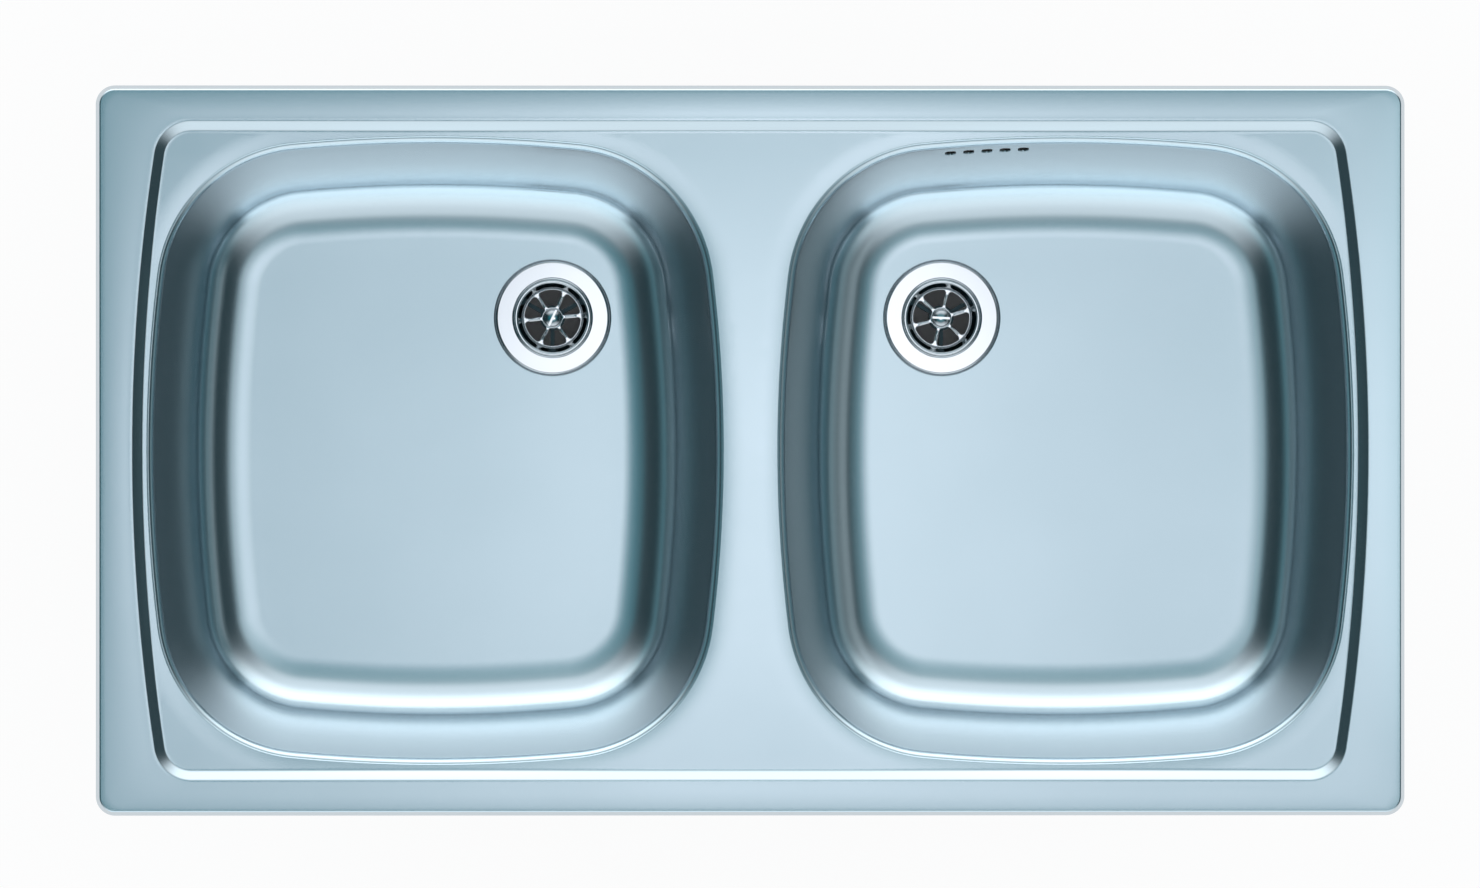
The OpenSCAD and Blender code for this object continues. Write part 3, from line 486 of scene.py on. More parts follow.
def stepProfile(pace=0.1, smoothing=5, bent=0.02):
    # Fits the step's tilts to its drop, and keeps the points where it bends
    insets = np.arange(stepTilt[0][0], stepTilt[-1][0] + pace / 10, pace)
    tilts = np.pad(np.interp(insets, *zip(*stepTilt)), smoothing // 2, mode="edge")
    tilts = np.convolve(tilts, np.ones(smoothing) / smoothing, mode="valid")
    drops = dropsAlong(tilts, pace)
    drops *= deck["stepDrop"] / drops[-1]
    curved = np.abs(np.gradient(tilts)) > bent
    kept = [i for i in range(len(insets)) if i in (0, len(insets) - 1) or curved[i] and i % 2 == 0
            or curved[i] != curved[max(0, i - 1)]]
    return [(insets[i], drops[i]) for i in kept]


# Tilt of the ledge along its inset: a tight bend at the seam, nearly flat, then an even slope into the bowl
ledgeTilt = [(0, 1.5), (0.3, 5), (0.6, 9), (0.75, 48), (0.95, 52), (1.15, 5), (1.7, 3), (1.95, 24),
             (2.8, 28)]

nearBowl = {side: line.at(0) for side, line in bowlLines.items()}


def dipAt(points):
    # Depth of the drawn-in deck beside the nearer bowl
    far = np.minimum(*(distanceTo(points, line) for line in nearBowl.values()))
    return deck["dip"] * (1 - np.minimum(1.0, far / deck["dipReach"])) ** 2


def deckSkin(sheet, under):
    # One face of the sheet, from the rim's edge to the ledges. The under face lies a thickness lower.
    t = deck["sheet"] if under else 0.0
    top, bend, tilt = deck["top"], deck["edgeBend"], deck["skirtTilt"]
    high = top - deck["crown"]
    foot = deck["edgeGap"] + deck["footHeight"]
    skirt = high - foot - bend * (1 - cos(tilt))  # how far the straight part of the skirt drops
    bendInset = deck["footInset"] + skirt / tan(tilt) + bend * sin(tilt)
    rings = [lift(rimLine.at(t), deck["edgeGap"])]
    for inset, down in ((0.01, 0.2), (0.06, 0.05)):
        rings.append(lift(rimLine.at(inset + t), foot - down - t * 0.4))
    for i in range(deck["bendSteps"] + 1):
        s = tilt * (1 - i / deck["bendSteps"])
        rings.append(lift(rimLine.at(bendInset - (bend - t) * sin(s)), high - bend + (bend - t) * cos(s)))
    profile = stepProfile()
    outer, inner = rings[-1], lift(stepLine.at(profile[0][0]), high - t)
    for i in range(1, deck["rimSteps"] + 1):
        share = i / deck["rimSteps"]
        lifted = deck["crown"] * (1 - (2 * share - 1) ** 2)
        rings.append([(x, y, z + lifted) for x, y, z in between(outer, inner, share)])
    for inset, drop in profile[1:]:
        share = drop / deck["stepDrop"]
        line = stepLine.at(inset)
        rings.append(lift(line, top - deck["crown"] * (1 - share) - drop - dipAt(line) * share ** 4 - t))
    sheet.loft(rings)
    edge = stepLine.at(profile[-1][0])
    bowlEdges = list(nearBowl.values())
    seeds = gridSeeds(edge, bowlEdges, spacing=9, margin=6)
    for line in bowlLines.values():
        for reach in deck["dipRings"]:
            seeds += clearSeeds(line.at(-reach), edge, bowlEdges, deck["clear"])
    sheet.patch(edge, bowlEdges, seeds, lambda points: deck["low"] - dipAt(points) - t)


def ledgeRings(line, pace=0.05):
    # From the deck's upper face over a tight bend and down the sloping ledge, and back under it
    width, flange, high = deck["ledgeWidth"], deck["flange"], deck["low"] - deck["dip"]
    insets = np.arange(0, width + pace / 50, pace)
    heights = high - dropsAlong(np.interp(insets, *zip(*ledgeTilt)), pace)
    count = int(deck["ledgeBend"] / pace)
    kept = list(range(0, count, 2)) + list(range(count, len(insets), 8)) + [len(insets) - 1]
    profile = [(insets[i], heights[i]) for i in kept]
    profile += [(width, heights[-1] - 0.1), (width, flange - 0.1), (width - 0.25, flange), (0.4, flange),
                (0, high - deck["sheet"])]
    return [lift(line.at(inset), z) for inset, z in profile]


def makeDeck():
    sheet = Sheet()
    deckSkin(sheet, False)
    deckSkin(sheet, True)
    sheet.loft([lift(rimLine.at(0), deck["edgeGap"]), lift(rimLine.at(deck["sheet"]), deck["edgeGap"])])
    for line in bowlLines.values():
        sheet.loft(ledgeRings(line))
    addPiece("pressedDeck", sheet.mesh(), "sink", "deck_steel", ["deck"])


makeDeck()
print("deck made")


# The bowls: rolled entry, sloping wall, floor fillet, floor and the seat of the drain

bowl["entryRadius"] = bowl["entryReach"] / (cos(bowl["draft"]) - sin(bowl["entryTilt"]))
bowl["wallTopInset"] = deck["ledgeWidth"] + bowl["entryReach"]
bowl["wallTop"] = deck["flange"] - bowl["entryRadius"] * (cos(bowl["entryTilt"]) - sin(bowl["draft"]))


def filletCurve(steps=12):
    # (out, up, tilt) from the floor up to the wall, along arcs that run into each other
    out, up, last = 0.0, 0.0, 0.0
    curve = [(out, up, last)]
    for radius, until in bowl["fillet"]:
        for i in range(1, steps + 1):
            tilt = last + (radians(until) - last) * i / steps
            curve.append((out + radius * (sin(tilt) - sin(last)),
                          up + radius * (cos(last) - cos(tilt)), tilt))
        out, up, last = curve[-1]
    return curve


bowl["curve"] = filletCurve()
bowl["wallEnd"] = bowl["floor"] + bowl["curve"][-1][1]
bowl["wallEndInset"] = bowl["wallTopInset"] + (bowl["wallTop"] - bowl["wallEnd"]) * tan(bowl["draft"])
bowl["floorInset"] = bowl["wallEndInset"] + bowl["curve"][-1][0]

overflow = {
    "x": 141, "down": 20, "slots": 5, "pitch": 11, "width": 6.5, "height": 13,
    "panel": 32,  # half the width of the part of the wall that holds the slots
    "stretch": 6,  # the wall is about this much longer down its slope than its inset says
}


def bowlProfile(t):
    # (inset, height) down the wet side, or the dry side a thickness t outside it
    draft, entry, begin = bowl["draft"], bowl["entryRadius"], bowl["entryTilt"]
    entrySteps, wallSteps = 8, 6
    profile = []
    for i in range(entrySteps + 1):
        s = begin + (pi / 2 - draft - begin) * i / entrySteps
        profile.append((deck["ledgeWidth"] + (entry - t) * sin(s) - entry * sin(begin),
                        deck["flange"] + (entry - t) * cos(s) - entry * cos(begin)))
    curve = [(bowl["floorInset"] - out - t * sin(tilt), bowl["floor"] + up - t * cos(tilt))
             for out, up, tilt in reversed(bowl["curve"])]
    first, last = profile[-1], curve[0]
    for i in range(1, wallSteps):
        share = i / wallSteps
        profile.append((first[0] + (last[0] - first[0]) * share, first[1] + (last[1] - first[1]) * share))
    return profile + curve, entrySteps, entrySteps + wallSteps


def floorRise(side, points):
    # The floor falls gently towards a level disc round the drain
    away = np.asarray(points)[:, :2] - (side * drain["x"], drain["y"])
    far = np.clip((np.hypot(*away.T) - bowl["levelRadius"]) / bowl["fallLength"], 0, 1)
    return bowl["rise"] * far * far * (3 - 2 * far)


def bowlRings(side, t):
    profile, wallFirst, wallLast = bowlProfile(t)
    rings = []
    for inset, z in profile:
        share = max(0.0, min(1.0, (bowl["wallEnd"] - z - t) / (bowl["wallEnd"] - bowl["floor"])))
        line = bowlLines[side].at(inset)
        rings.append(lift(line, z + share * share * floorRise(side, line)))
    return rings, profile, wallFirst, wallLast


def slotLoop(width, height, steps=10):
    # A slot with round ends
    r, straightHalf = width / 2, (height - width) / 2
    return arcPoints(0, straightHalf, r, 0, pi, steps) + arcPoints(0, -straightHalf, r, pi, 2 * pi, steps)


def wallPanel(sheet, side, rings, profile, wallFirst, wallLast):
    # The part of the back wall with the overflow slots: flat in (along, inset), mapped to the bowed wall
    outline, stretch = bowlLines[side], overflow["stretch"]
    centreY = outline.b - outline.endR
    (inset0, z0), (inset1, z1) = profile[wallFirst], profile[wallLast]
    ring = rings[wallFirst]
    chosen = [i for i, (x, y, z) in enumerate(ring) if y > 0 and abs(x - overflow["x"]) < overflow["panel"]]
    start, end = min(chosen), max(chosen)

    def flat(x, y, inset):
        turn = atan2(x - outline.middle, y - centreY)
        return (turn * outline.endR, inset * stretch)

    def solid(u, v):
        turn, inset = u / outline.endR, v / stretch
        z = z0 + (z1 - z0) * (inset - inset0) / (inset1 - inset0)
        radius = outline.endR - inset
        return (outline.middle + radius * sin(turn), centreY + radius * cos(turn), z)

    edge = [(i, wallFirst) for i in range(start, end)]
    edge += [(end, k) for k in range(wallFirst, wallLast)]
    edge += [(i, wallLast) for i in range(end, start, -1)]
    edge += [(start, k) for k in range(wallLast, wallFirst, -1)]
    outer = [flat(rings[k][i][0], rings[k][i][1], profile[k][0]) for i, k in edge]
    perInset = hypot(inset1 - inset0, z1 - z0) / (inset1 - inset0)
    slotZ = deck["low"] - overflow["down"]
    slotInset = inset0 + (inset1 - inset0) * (slotZ - z0) / (z1 - z0)
    turn = atan2(overflow["x"] - outline.middle, outline.endR)
    holes = []
    for i in range(overflow["slots"]):
        along = turn * outline.endR + (i - (overflow["slots"] - 1) / 2) * overflow["pitch"]
        loop = slotLoop(overflow["width"], overflow["height"])
        holes.append([(along + u, (slotInset + v / perInset) * stretch) for u, v in loop])
    seeds = gridSeeds(outer, holes, spacing=5, margin=2.2)
    for hole in holes:
        middle = np.mean(np.array(hole), axis=0)
        for grow in (1.06, 1.16):
            seeds += [tuple(middle + (np.array(p) - middle) * grow) for p in hole]
    flatSheet = Sheet()
    flatSheet.patch(outer, holes, seeds, lambda points: 0.0)
    base = len(sheet.points)
    sheet.points += [solid(u, v) for u, v, _ in flatSheet.points]
    sheet.faces += [tuple(base + i for i in face) for face in flatSheet.faces]
    return start, end, [[solid(u, v) for u, v in hole] for hole in holes]


def seatProfile(t, wallSteps=12):
    # From the hole's edge over the seat and up its soft wall to the floor
    edge, depth, bend = drain["seatRadius"], drain["seatDepth"], drain["seatBend"]
    profile = [(r, -depth - t) for r in (drain["holeRadius"], drain["holeRadius"] + 0.2, edge - bend - 0.3)]
    for i in range(wallSteps + 1):
        share = i / wallSteps
        eased = share * share * (3 - 2 * share)
        profile.append((edge - bend + 2 * bend * share + t * 0.6, -depth + depth * eased - t))
    return profile


def makeBowl(side, name, node):
    sheet = Sheet()
    holeLoops = []
    middle = (side * drain["x"], drain["y"])
    for t in (0.0, bowl["sheet"]):
        rings, profile, wallFirst, wallLast = bowlRings(side, t)
        if side > 0:
            start, end, loops = wallPanel(sheet, side, rings, profile, wallFirst, wallLast)
            holeLoops.append(loops)
            sheet.loft(rings, skip=lambda k, i: wallFirst <= k < wallLast and start <= i < end)
        else:
            sheet.loft(rings)
        seat = [(r, z + bowl["floor"]) for r, z in seatProfile(t)]
        sheet.lathe(seat, middle=middle)
        hole = arcPoints(*middle, seat[-1][0], 0, 2 * pi, turnSteps)[:-1]
        outer = [p[:2] for p in rings[-1]]
        seeds = gridSeeds(outer, [hole], spacing=9, margin=7)
        for distance in bowl["seatRings"]:
            seeds += clearSeeds(outset(hole, distance), outer, [], 0.4)
        sheet.patch(outer, [hole], seeds, lambda points: bowl["floor"] - t + floorRise(side, points))
    for inner, outer in zip(*holeLoops) if holeLoops else ():
        sheet.loft([inner, outer])
    line, flange, under = bowlLines[side], deck["flange"], deck["flange"] - bowl["sheet"]
    inner, outer = line.at(deck["ledgeWidth"]), line.at(-bowl["flangeReach"])
    sheet.loft([lift(inner, flange), lift(outer, flange), lift(outer, under), lift(inner, under)])
    bottom = bowl["floor"] - drain["seatDepth"]
    sheet.lathe([(drain["holeRadius"], z) for z in (bottom, bottom - bowl["sheet"])], middle=middle)
    addPiece(name, sheet.mesh(), "sink", "bowl_steel", [node])


makeBowl(-1, "leftBowlShell", "left_bowl")
makeBowl(1, "rightBowlShell", "right_bowl")
print("bowls made")


# The drains: a polished flange with a lip, a tapered cup and a grid of six crowned spokes

def rounded(corners, steps=5):
    # A profile through corners of (radius, height, rounding)
    line = []
    for i, (x, y, r) in enumerate(corners):
        if r == 0 or i in (0, len(corners) - 1):
            line.append((x, y))
            continue
        here = Vector((x, y))
        before = (Vector(corners[i - 1][:2]) - here).normalized()
        after = (Vector(corners[i + 1][:2]) - here).normalized()
        half = before.angle(after) / 2
        middle = here + (before + after).normalized() * (r / sin(half))
        first, last = here + before * (r / tan(half)) - middle, here + after * (r / tan(half)) - middle
        for k in range(steps + 1):
            arm = first.slerp(last, k / steps) if first.angle(last) > 0.001 else first
            line.append(tuple(middle + arm))
    return line


strainer = {
    "radius": 34, "top": -0.7, "under": -1.7, "grid": -13.7, "sheet": 1.0, "plate": 17.15,
    "hub": 6.5, "opening": 17, "spokes": 6, "spoke": 2.1, "hubFillet": 1.4, "footFillet": 1.9,
    "crown": 0.4, "crownWidth": 0.36, "crownRings": (0.08, 0.2, 0.34, 0.47),
    "dish": 5.7, "bore": 3.3, "dishDepth": 0.8, "turns": {-1: radians(5), 1: radians(16)}, "foot": 17.4,
    # From the cup's mouth over its lip into the groove inside the flange, as (radius, height, rounding)
    "lip": [(21.6, -1.1, 0.35), (22.7, -1.1, 0.35), (23.05, -1.8, 0.2), (23.4, -1.8, 0.2)],
}


def openingLoop(turn):
    # One opening of the grid, rounded towards the hub and towards the feet of its spokes
    half, side = pi / strainer["spokes"], strainer["spoke"] / 2
    hub, edge, f, g = (strainer[key] for key in ("hub", "opening", "hubFillet", "footFillet"))
    inner, foot = half - asin((side + f) / (hub + f)), half - asin((side + g) / (edge - g))
    line = arcPoints(0, 0, hub, 0, inner, 4)[:-1]
    line += arcPoints((hub + f) * cos(inner), (hub + f) * sin(inner), f, inner + pi, half + pi / 2, 8)
    line += arcPoints((edge - g) * cos(foot), (edge - g) * sin(foot), g, half + pi / 2, foot, 10)
    line += arcPoints(0, 0, edge, foot, 0, 6)[1:]
    loop = line + [(x, -y) for x, y in line[-2:0:-1]]
    return [(x * cos(turn) - y * sin(turn), x * sin(turn) + y * cos(turn)) for x, y in loop]


def strainerMesh(side):
    s = strainer
    grid, low = s["grid"], s["grid"] - s["sheet"]
    sheet = Sheet()
    flange = [(23.9, s["top"], 0.35), (24.5, s["top"], 0), (33.2, s["top"], 0), (s["radius"], s["top"], 0.5),
              (s["radius"], s["under"], 0.2), (24, s["under"], 0.8), (19.5, low, 0.6), (s["plate"], low, 0)]
    sheet.lathe(rounded([(s["plate"], grid, 0), (s["foot"], grid, 0.15)] + s["lip"] + flange))
    sheet.lathe([(s["dish"], grid), (s["dish"] - 0.25, grid - 0.12), (s["bore"], grid - s["dishDepth"]),
                 (s["bore"], low)])
    step = 2 * pi / s["spokes"]
    loops = [openingLoop(s["turns"][side] + (i + 0.5) * step) for i in range(s["spokes"])]
    rim, dish, bore = (circle(s[key], turnSteps) for key in ("plate", "dish", "bore"))
    seeds = gridSeeds(rim, loops + [dish], spacing=0.7, margin=0.65)
    for loop in loops:
        for distance in s["crownRings"]:
            seeds += clearSeeds(outset(loop, distance), rim, [dish], 0.1)

    def crowned(points):
        far = np.min([distanceTo(points, loop) for loop in loops], axis=0)
        return grid - s["crown"] * (1 - np.minimum(1, far / s["crownWidth"])) ** 2

    sheet.patch(rim, loops + [dish], seeds, crowned)
    sheet.patch(rim, loops + [bore], [], lambda points: low)
    for loop in loops:
        sheet.loft([lift(loop, grid - s["crown"]), lift(loop, low)])
    return sheet.mesh(weld=0.01)


drainScrew = {
    "headRadius": 5.3, "headTop": -12.1, "seat": -13.7, "neck": 0.8, "dome": 0.026, "slot": 1.3,
    "round": 0.5, "roundDrop": 0.4, "slotDepth": 1.1, "radius": 3.0, "threadDepth": 0.5, "pitch": 1.0,
    "tip": -37.7, "taper": (0.6, 0.7), "turns": {-1: radians(65), 1: radians(-3)},
}


def slottedHead(sheet, radius, rule, floor, low, width, turn, steps=14):
    # The top of a head: two halves under a rule of height, with the slot's floor and walls between them
    corner = asin(width / 2 / radius)
    spin = Matrix.Rotation(turn, 2)

    def turned(line):
        return [tuple(spin @ Vector(p)) for p in line]

    chords = []
    for start in (0, pi):
        arc = arcPoints(0, 0, radius, start + corner, start + pi - corner, 40)
        first, last = arc[-1], arc[0]
        chord = [tuple(p + (q - p) * i / steps for p, q in zip(first, last)) for i in range(steps + 1)]
        outline = turned(arc + chord[1:-1])
        sheet.patch(outline, [], gridSeeds(outline, [], spacing=0.6, margin=0.3), rule)
        arc, chord = turned(arc), turned(chord)
        sheet.strip(lift(arc, rule(np.array(arc))), lift(arc, low))
        sheet.strip(lift(chord, rule(np.array(chord))), lift(chord, floor))
        chords.append(chord)
    for start in (0, pi):
        end = turned(arcPoints(0, 0, radius, start - corner, start + corner, 6))
        sheet.strip(lift(end, floor), lift(end, low))
        chords.append(end)
    upper, lower, right, left = chords
    slotLine = right[:-1] + upper[:0:-1] + left[:-1] + lower[:0:-1]
    sheet.patch(slotLine, [], [], lambda points: floor)


def drainScrewMesh(side, columns=24):
    s = drainScrew
    seat, neck, core = s["seat"], s["seat"] - s["neck"], s["radius"] - s["threadDepth"]
    tip, point, shoulder = s["tip"], core - s["taper"][0], s["tip"] + s["taper"][1]
    sheet = Sheet()

    def rule(points):
        far = np.hypot(*points.T)
        edge = np.clip((far - s["headRadius"] + s["round"]) / s["round"], 0, 1)
        return s["headTop"] - s["dome"] * far * far - s["roundDrop"] * edge * edge

    floor = s["headTop"] - s["slotDepth"]
    slottedHead(sheet, s["headRadius"], rule, floor, seat, s["slot"], s["turns"][side])
    sheet.lathe([(s["headRadius"], seat), (core, neck)], columns)
    sheet.lathe([(core, neck), (core, shoulder), (point, tip)], columns)
    sheet.cap(lift(circle(point, columns), tip))
    sheet.ridge(s, shoulder, neck, columns)
    return sheet.mesh()


drainPlace = {side: Matrix.Translation(Vector((side * drain["x"], drain["y"], bowl["floor"])) * mm)
              for side in (-1, 1)}
for side, hand in ((-1, "left"), (1, "right")):
    addPiece(hand + "Strainer", strainerMesh(side), "sink", "polished_steel",
             [hand + "_strainer_flange"], sharp=40, place=drainPlace[side])
    addPiece(hand + "DrainScrew", drainScrewMesh(side), "sink", "polished_steel",
             [hand + "_drain_screw"], sharp=35, place=drainPlace[side])
print("drains made")


# Softened copies: the solids that show under the sink, with their sharp edges rounded over

softening = {"weld": 0.002 * mm, "flat": radians(0.5), "sharp": radians(35)}


def softened(node, width, dropped=None):
    made = frame["nodes"][node].data.copy()
    work = bmesh.new()
    work.from_mesh(made)
    bmesh.ops.remove_doubles(work, verts=work.verts, dist=softening["weld"])
    if dropped:
        gone = [face for face in work.faces if dropped(face.calc_center_median() / mm, face.normal)]
        bmesh.ops.delete(work, geom=gone, context="FACES")
    bmesh.ops.dissolve_limit(work, angle_limit=softening["flat"], verts=work.verts, edges=work.edges)
    sharpEdges = [e for e in work.edges if e.calc_face_angle(0.0) > softening["sharp"]]
    bmesh.ops.bevel(work, geom=sharpEdges, offset=width * mm, segments=2, profile=0.5, affect="EDGES",
                    clamp_overlap=True)
    work.to_mesh(made)
    work.free()
    return made


def addSoftened(node, body, width, mesh=None):
    # The piece has its node's name, without the underscores
    first, *rest = node.split("_")
    name = first + "".join(word.capitalize() for word in rest)
    piece = addPiece(name, mesh or softened(node, width), body, slotOf[node], [node], sharp=50)
    weighted = piece.modifiers.new("weighted", "WEIGHTED_NORMAL")
    weighted.keep_sharp = True


waste = {"radius": 23.9, "threadDepth": 1.0, "pitch": 2.31, "top": -43.3, "bottom": -63.3, "round": 0.5}


def wasteMesh(side, node, columns=72):
    # The spigot's plain outside gives way to a thread
    w = waste
    x, y, floor = side * drain["x"], drain["y"], bowl["floor"]

    def onSpigot(middle, normal):
        far = hypot(middle.x - x, middle.y - y) - w["radius"]
        return w["bottom"] < middle.z - floor < w["top"] and -1 < far < 0.1 and abs(normal.z) < 0.1

    mesh = softened(node, w["round"], onSpigot)
    sheet = Sheet()
    core = w["radius"] - w["threadDepth"]
    low, high = w["bottom"], w["top"]
    sheet.lathe([(w["radius"], low), (core, low + 1), (core, high - 1), (w["radius"], high)], columns)
    sheet.ridge(w, low + 1.2, high - 0.8, columns)
    thread = sheet.mesh()
    thread.transform(drainPlace[side])
    work = bmesh.new()
    work.from_mesh(mesh)
    work.from_mesh(thread)
    work.to_mesh(mesh)
    work.free()
    return mesh


for side, hand in ((-1, "left"), (1, "right")):
    addSoftened(hand + "_waste_body", "sink", 0, wasteMesh(side, hand + "_waste_body"))
    for node, width in (("_body_seal", 0.35), ("_flange_seal", 0.2), ("_insert_nut", 0.3),
                        ("_sound_pad", 0.7)):
        addSoftened(hand + node, "sink", width)
for node, width in (("rim_seal", 0.6), ("overflow_housing", 0.6), ("overflow_seal", 0.4),
                    ("overflow_studs", 0.3), ("overflow_nuts", 0.3), ("clamp_brackets", 0.3)):
    addSoftened(node, "sink", width)
print("underside made")


# The clamps: a leg that swings, a claw that climbs and the screw that lifts it

clampScrew = {
    "headRadius": 4.6, "headHeight": 3.4, "round": 0.8, "slot": 1.2, "slotReach": 3.3, "slotDepth": 1.6,
    "radius": 2.5, "threadDepth": 0.4, "pitch": 0.8, "length": 24.7, "edge": 0.4, "taper": (0.5, 0.6),
}


def crossLine(width, reach):
    # Twelve corners of a cross
    w = width / 2
    quarter = [(reach, -w), (reach, w), (w, w)]
    return [(x * cos(t) - y * sin(t), x * sin(t) + y * cos(t)) for t in (0, pi / 2, pi, 3 * pi / 2)
            for x, y in quarter]


def clampScrewMesh(columns=32):
    s = clampScrew
    sheet = Sheet()
    face = s["headRadius"] - s["round"]
    cross = crossLine(s["slot"], s["slotReach"])
    rim = circle(face, columns)
    seeds = gridSeeds(rim, [cross], spacing=0.9, margin=0.3)
    sheet.patch(rim, [cross], seeds, lambda points: 0.0)
    sheet.loft([lift(cross, 0), lift(cross, s["slotDepth"])])
    sheet.patch(cross, [], [], lambda points: s["slotDepth"])
    core, under, edge = s["radius"] - s["threadDepth"], s["headHeight"], s["edge"]
    tip, point, shoulder = s["length"], core - s["taper"][0], s["length"] - s["taper"][1]
    head = [(face + s["round"] * sin(a), s["round"] * (1 - cos(a))) for a in (0, 0.4, 0.8, 1.2, pi / 2)]
    head += [(s["headRadius"], under - edge), (s["headRadius"] - edge, under)]
    sheet.lathe(head + [(core, under), (core, shoulder), (point, tip)], columns)
    sheet.cap(lift(circle(point, columns), tip))
    sheet.ridge(s, under + 0.2, shoulder, columns=24)
    return sheet.mesh()


for i in range(1, 9):
    addSoftened(f"clamp_leg_{i}", f"leg_{i}", 0.3)
    addSoftened(f"clamp_claw_{i}", f"claw_{i}", 0.25)
    low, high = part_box(f"clamp_screw_{i}")
    place = Matrix.Translation(((low.x + high.x) / 2, (low.y + high.y) / 2, low.z))
    addPiece(f"clampScrew{i}", clampScrewMesh(), f"screw_{i}", "zinc_steel", [f"clamp_screw_{i}"],
             sharp=35, place=place)
print("clamps made")


# Floor, lamps, world and camera

floorLook = {
    "reach": 30000, "gap": 0.001, "plain": rgb(0.85, 0.86, 0.87), "glow": 0.93, "reflected": 0.6,
    "edgeX": (0.37, 0.31), "edgeY": (0.2, 0.14),
}
floorSheet = Sheet()
floorSheet.cap([(x * floorLook["reach"], y * floorLook["reach"], 0)
                for x, y in ((-1, -1), (1, -1), (1, 1), (-1, 1))])
floorMesh = floorSheet.mesh()
floorMesh.name = "studioFloor"
studioFloor = bpy.data.objects.new("studioFloor", floorMesh)
studioFloor.location.z = cadBox[0].z - floorLook["gap"]
bpy.context.scene.collection.objects.link(studioFloor)


def makeFloorFinish():
    # White to the camera, dimmer in reflections, and plain under the sink, where its shadow lies
    look = floorLook
    material = bpy.data.materials.new("studioFloor")
    graph = Graph(material)
    x, y = graph.split(graph.add("ShaderNodeTexCoord", output="Object"), 2)
    bare = 1 - graph.ease(abs(x), *look["edgeX"]) * graph.ease(abs(y), *look["edgeY"])
    camera = graph.add("ShaderNodeLightPath", output="Is Camera Ray")
    glossy = graph.add("ShaderNodeLightPath", output="Is Glossy Ray")
    seen = camera + look["reflected"] * glossy
    plain = graph.add("ShaderNodeBsdfDiffuse", {}, {"Color": look["plain"]})
    white = graph.add("ShaderNodeEmission", {}, {"Color": rgb(1, 1, 1)})
    surface = graph.add("ShaderNodeMixShader", {}, {0: look["glow"] * seen * bare, 1: plain, 2: white})
    graph.add("ShaderNodeOutputMaterial", {}, {"Surface": surface})
    return material


floorMesh.materials.append(makeFloorFinish())

# The overhead soft box, a card that the web shows, and two cards to the right for the right bowl's left wall
studio = {
    "overhead": {"place": (0.36, -0.33, 12.0), "size": (3.0, 1.8), "level": 1.3,
                 "tint": (1.0, 0.935, 0.99)},
    "webCard": {"place": (0.03, 0.02, 1.6), "size": (0.36, 0.4), "level": 0.45, "tint": (0.93, 0.96, 1.0)},
    "rightCard": {"place": (0.47, 0.0, 0.2), "size": (0.3, 0.5), "level": 0.17, "tint": (0.85, 1.0, 1.05),
                  "turn": pi / 2},
    "highCard": {"place": (0.49, 0.03, 0.5), "size": (0.24, 0.46), "level": 0.3, "tint": (0.85, 1.0, 1.05)},
}


def softBox(name, place, size, level, tint, turn=0.0):
    lamp = bpy.data.lights.new(name, "AREA")
    lamp.shape, lamp.size, lamp.size_y = "ELLIPSE", *size
    lamp.energy = level * pi * size[0] * size[1] * pi / 4  # a level of 1 is as bright as white
    lamp.color = tint
    box = bpy.data.objects.new(name, lamp)
    box.location = place
    box.rotation_euler = (0, turn, 0)
    box.visible_camera = False
    bpy.context.scene.collection.objects.link(box)


for name, box in studio.items():
    softBox(name, **box)

# Levels of the parts of the sky that reflections see, and the heights between which each comes or goes.
# A height is 0 at the horizon and 1 overhead.
worldLook = {
    "dark": (0.018, 0.04, 0.048), "skyHigh": rgb(0.86, 0.88, 0.9), "skyLow": rgb(0.25, 0.27, 0.29),
    "skyEdge": (0, 0.35), "bankEdge": (0.42, 1), "skirting": 0.45, "skirtingEdge": (0, 0.2),
    "front": 0.88, "frontLow": 0.25, "upperEdge": (0.985, 0.93), "lean": -0.02,
    "low": 0.8, "lowEdge": (0.85, 0.65), "horizon": 0.4, "horizonEdge": (0.47, 0.25),
    "shoulder": 0.12, "rightEdge": (0.965, 0.985), "rightSlant": (0, 0.1),
    "backEdge": (0.968, 0.985), "backSlant": (0.03, 0.12),
    "sides": 0.2, "rightSide": 0.5, "sidesEdge": (0.7, 0.45), "zenith": 0.16, "zenithEdge": (0.94, 0.99),
    "halves": (-0.05, 0.05),  # where the front gives way to the back, and the left to the right
    "upperTint": (0.9, 1, 1.06), "lowerTint": (0.92, 1, 1.03), "sidesTint": (0.45, 1, 1.15),
    "zenithTint": (0.02, 1, 1.25),
}


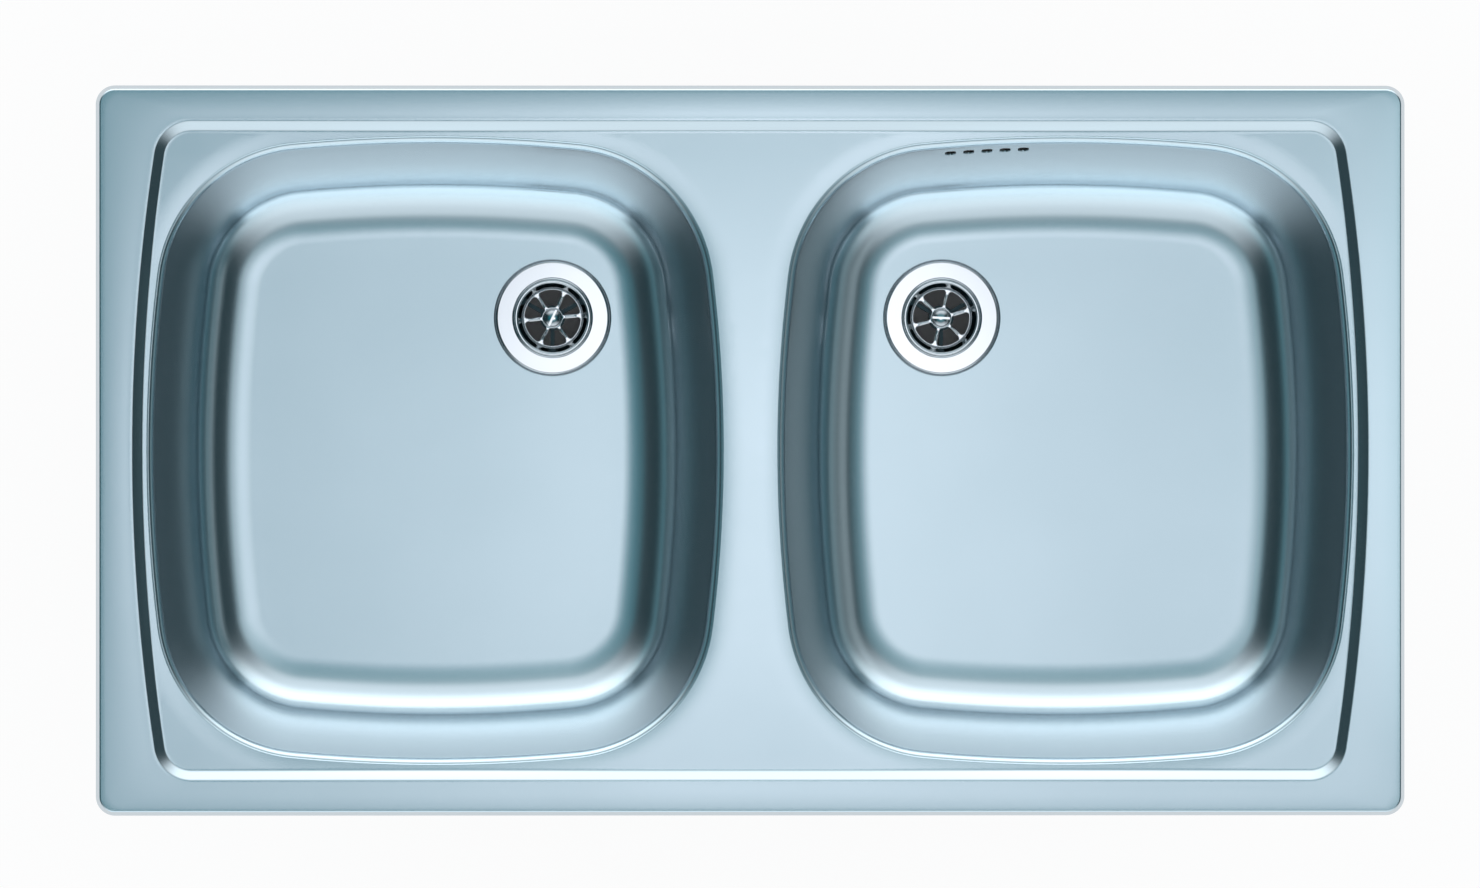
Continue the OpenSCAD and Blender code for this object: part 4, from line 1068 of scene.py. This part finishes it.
def makeWorld():
    # In reflections: a bank of soft boxes behind and in front, and dark flags to the left and right
    look = worldLook
    world = bpy.data.worlds.new("studio")
    bpy.context.scene.world = world
    graph = Graph(world)
    x, y, z = graph.split(graph.add("ShaderNodeTexCoord", output="Generated"))
    heading = abs(y) / ((x * x + y * y) ** 0.5 + 0.001)  # 1 straight to the back or the front
    skirting = graph.ease(z, *look["skirtingEdge"], look["skirting"], 1.0)
    bank = graph.ease(heading, *look["bankEdge"]) * skirting
    upper = bank * graph.ease(z + look["lean"] * y, *look["upperEdge"])
    upper = upper * graph.ease(y, *look["halves"], look["front"], 1.0)
    low = look["low"] * graph.ease(z, *look["lowEdge"])
    lower = bank * (low + look["horizon"] * graph.ease(z, *look["horizonEdge"]))
    lower = lower * graph.ease(y, *look["halves"], look["frontLow"], 1.0)
    zenith = look["zenith"] * graph.ease(z, *look["zenithEdge"])
    right = graph.ease(z, *look["rightEdge"]) * graph.ease(x - 0.5 * y, *look["rightSlant"])
    back = graph.ease(z, *look["backEdge"]) * graph.ease(y, *look["backSlant"])
    upper = upper + look["shoulder"] * (right + back)
    sides = look["sides"] * graph.ease(z, *look["sidesEdge"])
    sides = sides * graph.ease(x, *look["halves"], 1.0, look["rightSide"])
    picture = look["dark"]
    for level, tint in ((upper, "upperTint"), (lower, "lowerTint"), (sides, "sidesTint"),
                        (zenith, "zenithTint")):
        part = graph.add("ShaderNodeVectorMath", {"operation": "SCALE"}, {0: look[tint], 3: level})
        picture = graph.add("ShaderNodeVectorMath", {"operation": "ADD"}, {0: picture, 1: part})
    camera = graph.add("ShaderNodeLightPath", output="Is Camera Ray")
    diffuse = graph.add("ShaderNodeLightPath", output="Is Diffuse Ray")
    soft = graph.blend(graph.ease(z, *look["skyEdge"]), look["skyLow"], look["skyHigh"])
    colour = graph.blend(camera, graph.blend(diffuse, picture, soft), rgb(1, 1, 1))
    background = graph.add("ShaderNodeBackground", {}, {"Color": colour})
    graph.add("ShaderNodeOutputWorld", {}, {"Surface": background})


makeWorld()

view = {
    "lens": 351, "sensor": 36, "aim": (-0.00625, 0.0039, 0), "stand": (-0.116, 0.03), "height": 8.6,
}


def makeCamera():
    data = bpy.data.cameras.new("camera")
    data.lens, data.sensor_width = view["lens"], view["sensor"]
    data.clip_end = 100
    camera = bpy.data.objects.new("camera", data)
    bpy.context.scene.collection.objects.link(camera)
    camera.location = (*view["stand"], view["height"])
    camera.rotation_mode = "QUATERNION"
    forward = (Vector(view["aim"]) - camera.location).normalized()
    right = forward.cross(Vector((0, 1, 0))).normalized()
    axes = Matrix((right, right.cross(forward), -forward)).transposed()
    camera.rotation_quaternion = axes.to_quaternion()
    bpy.context.scene.camera = camera


makeCamera()
bpy.context.scene.view_settings.view_transform = "Standard"
print("studio made")
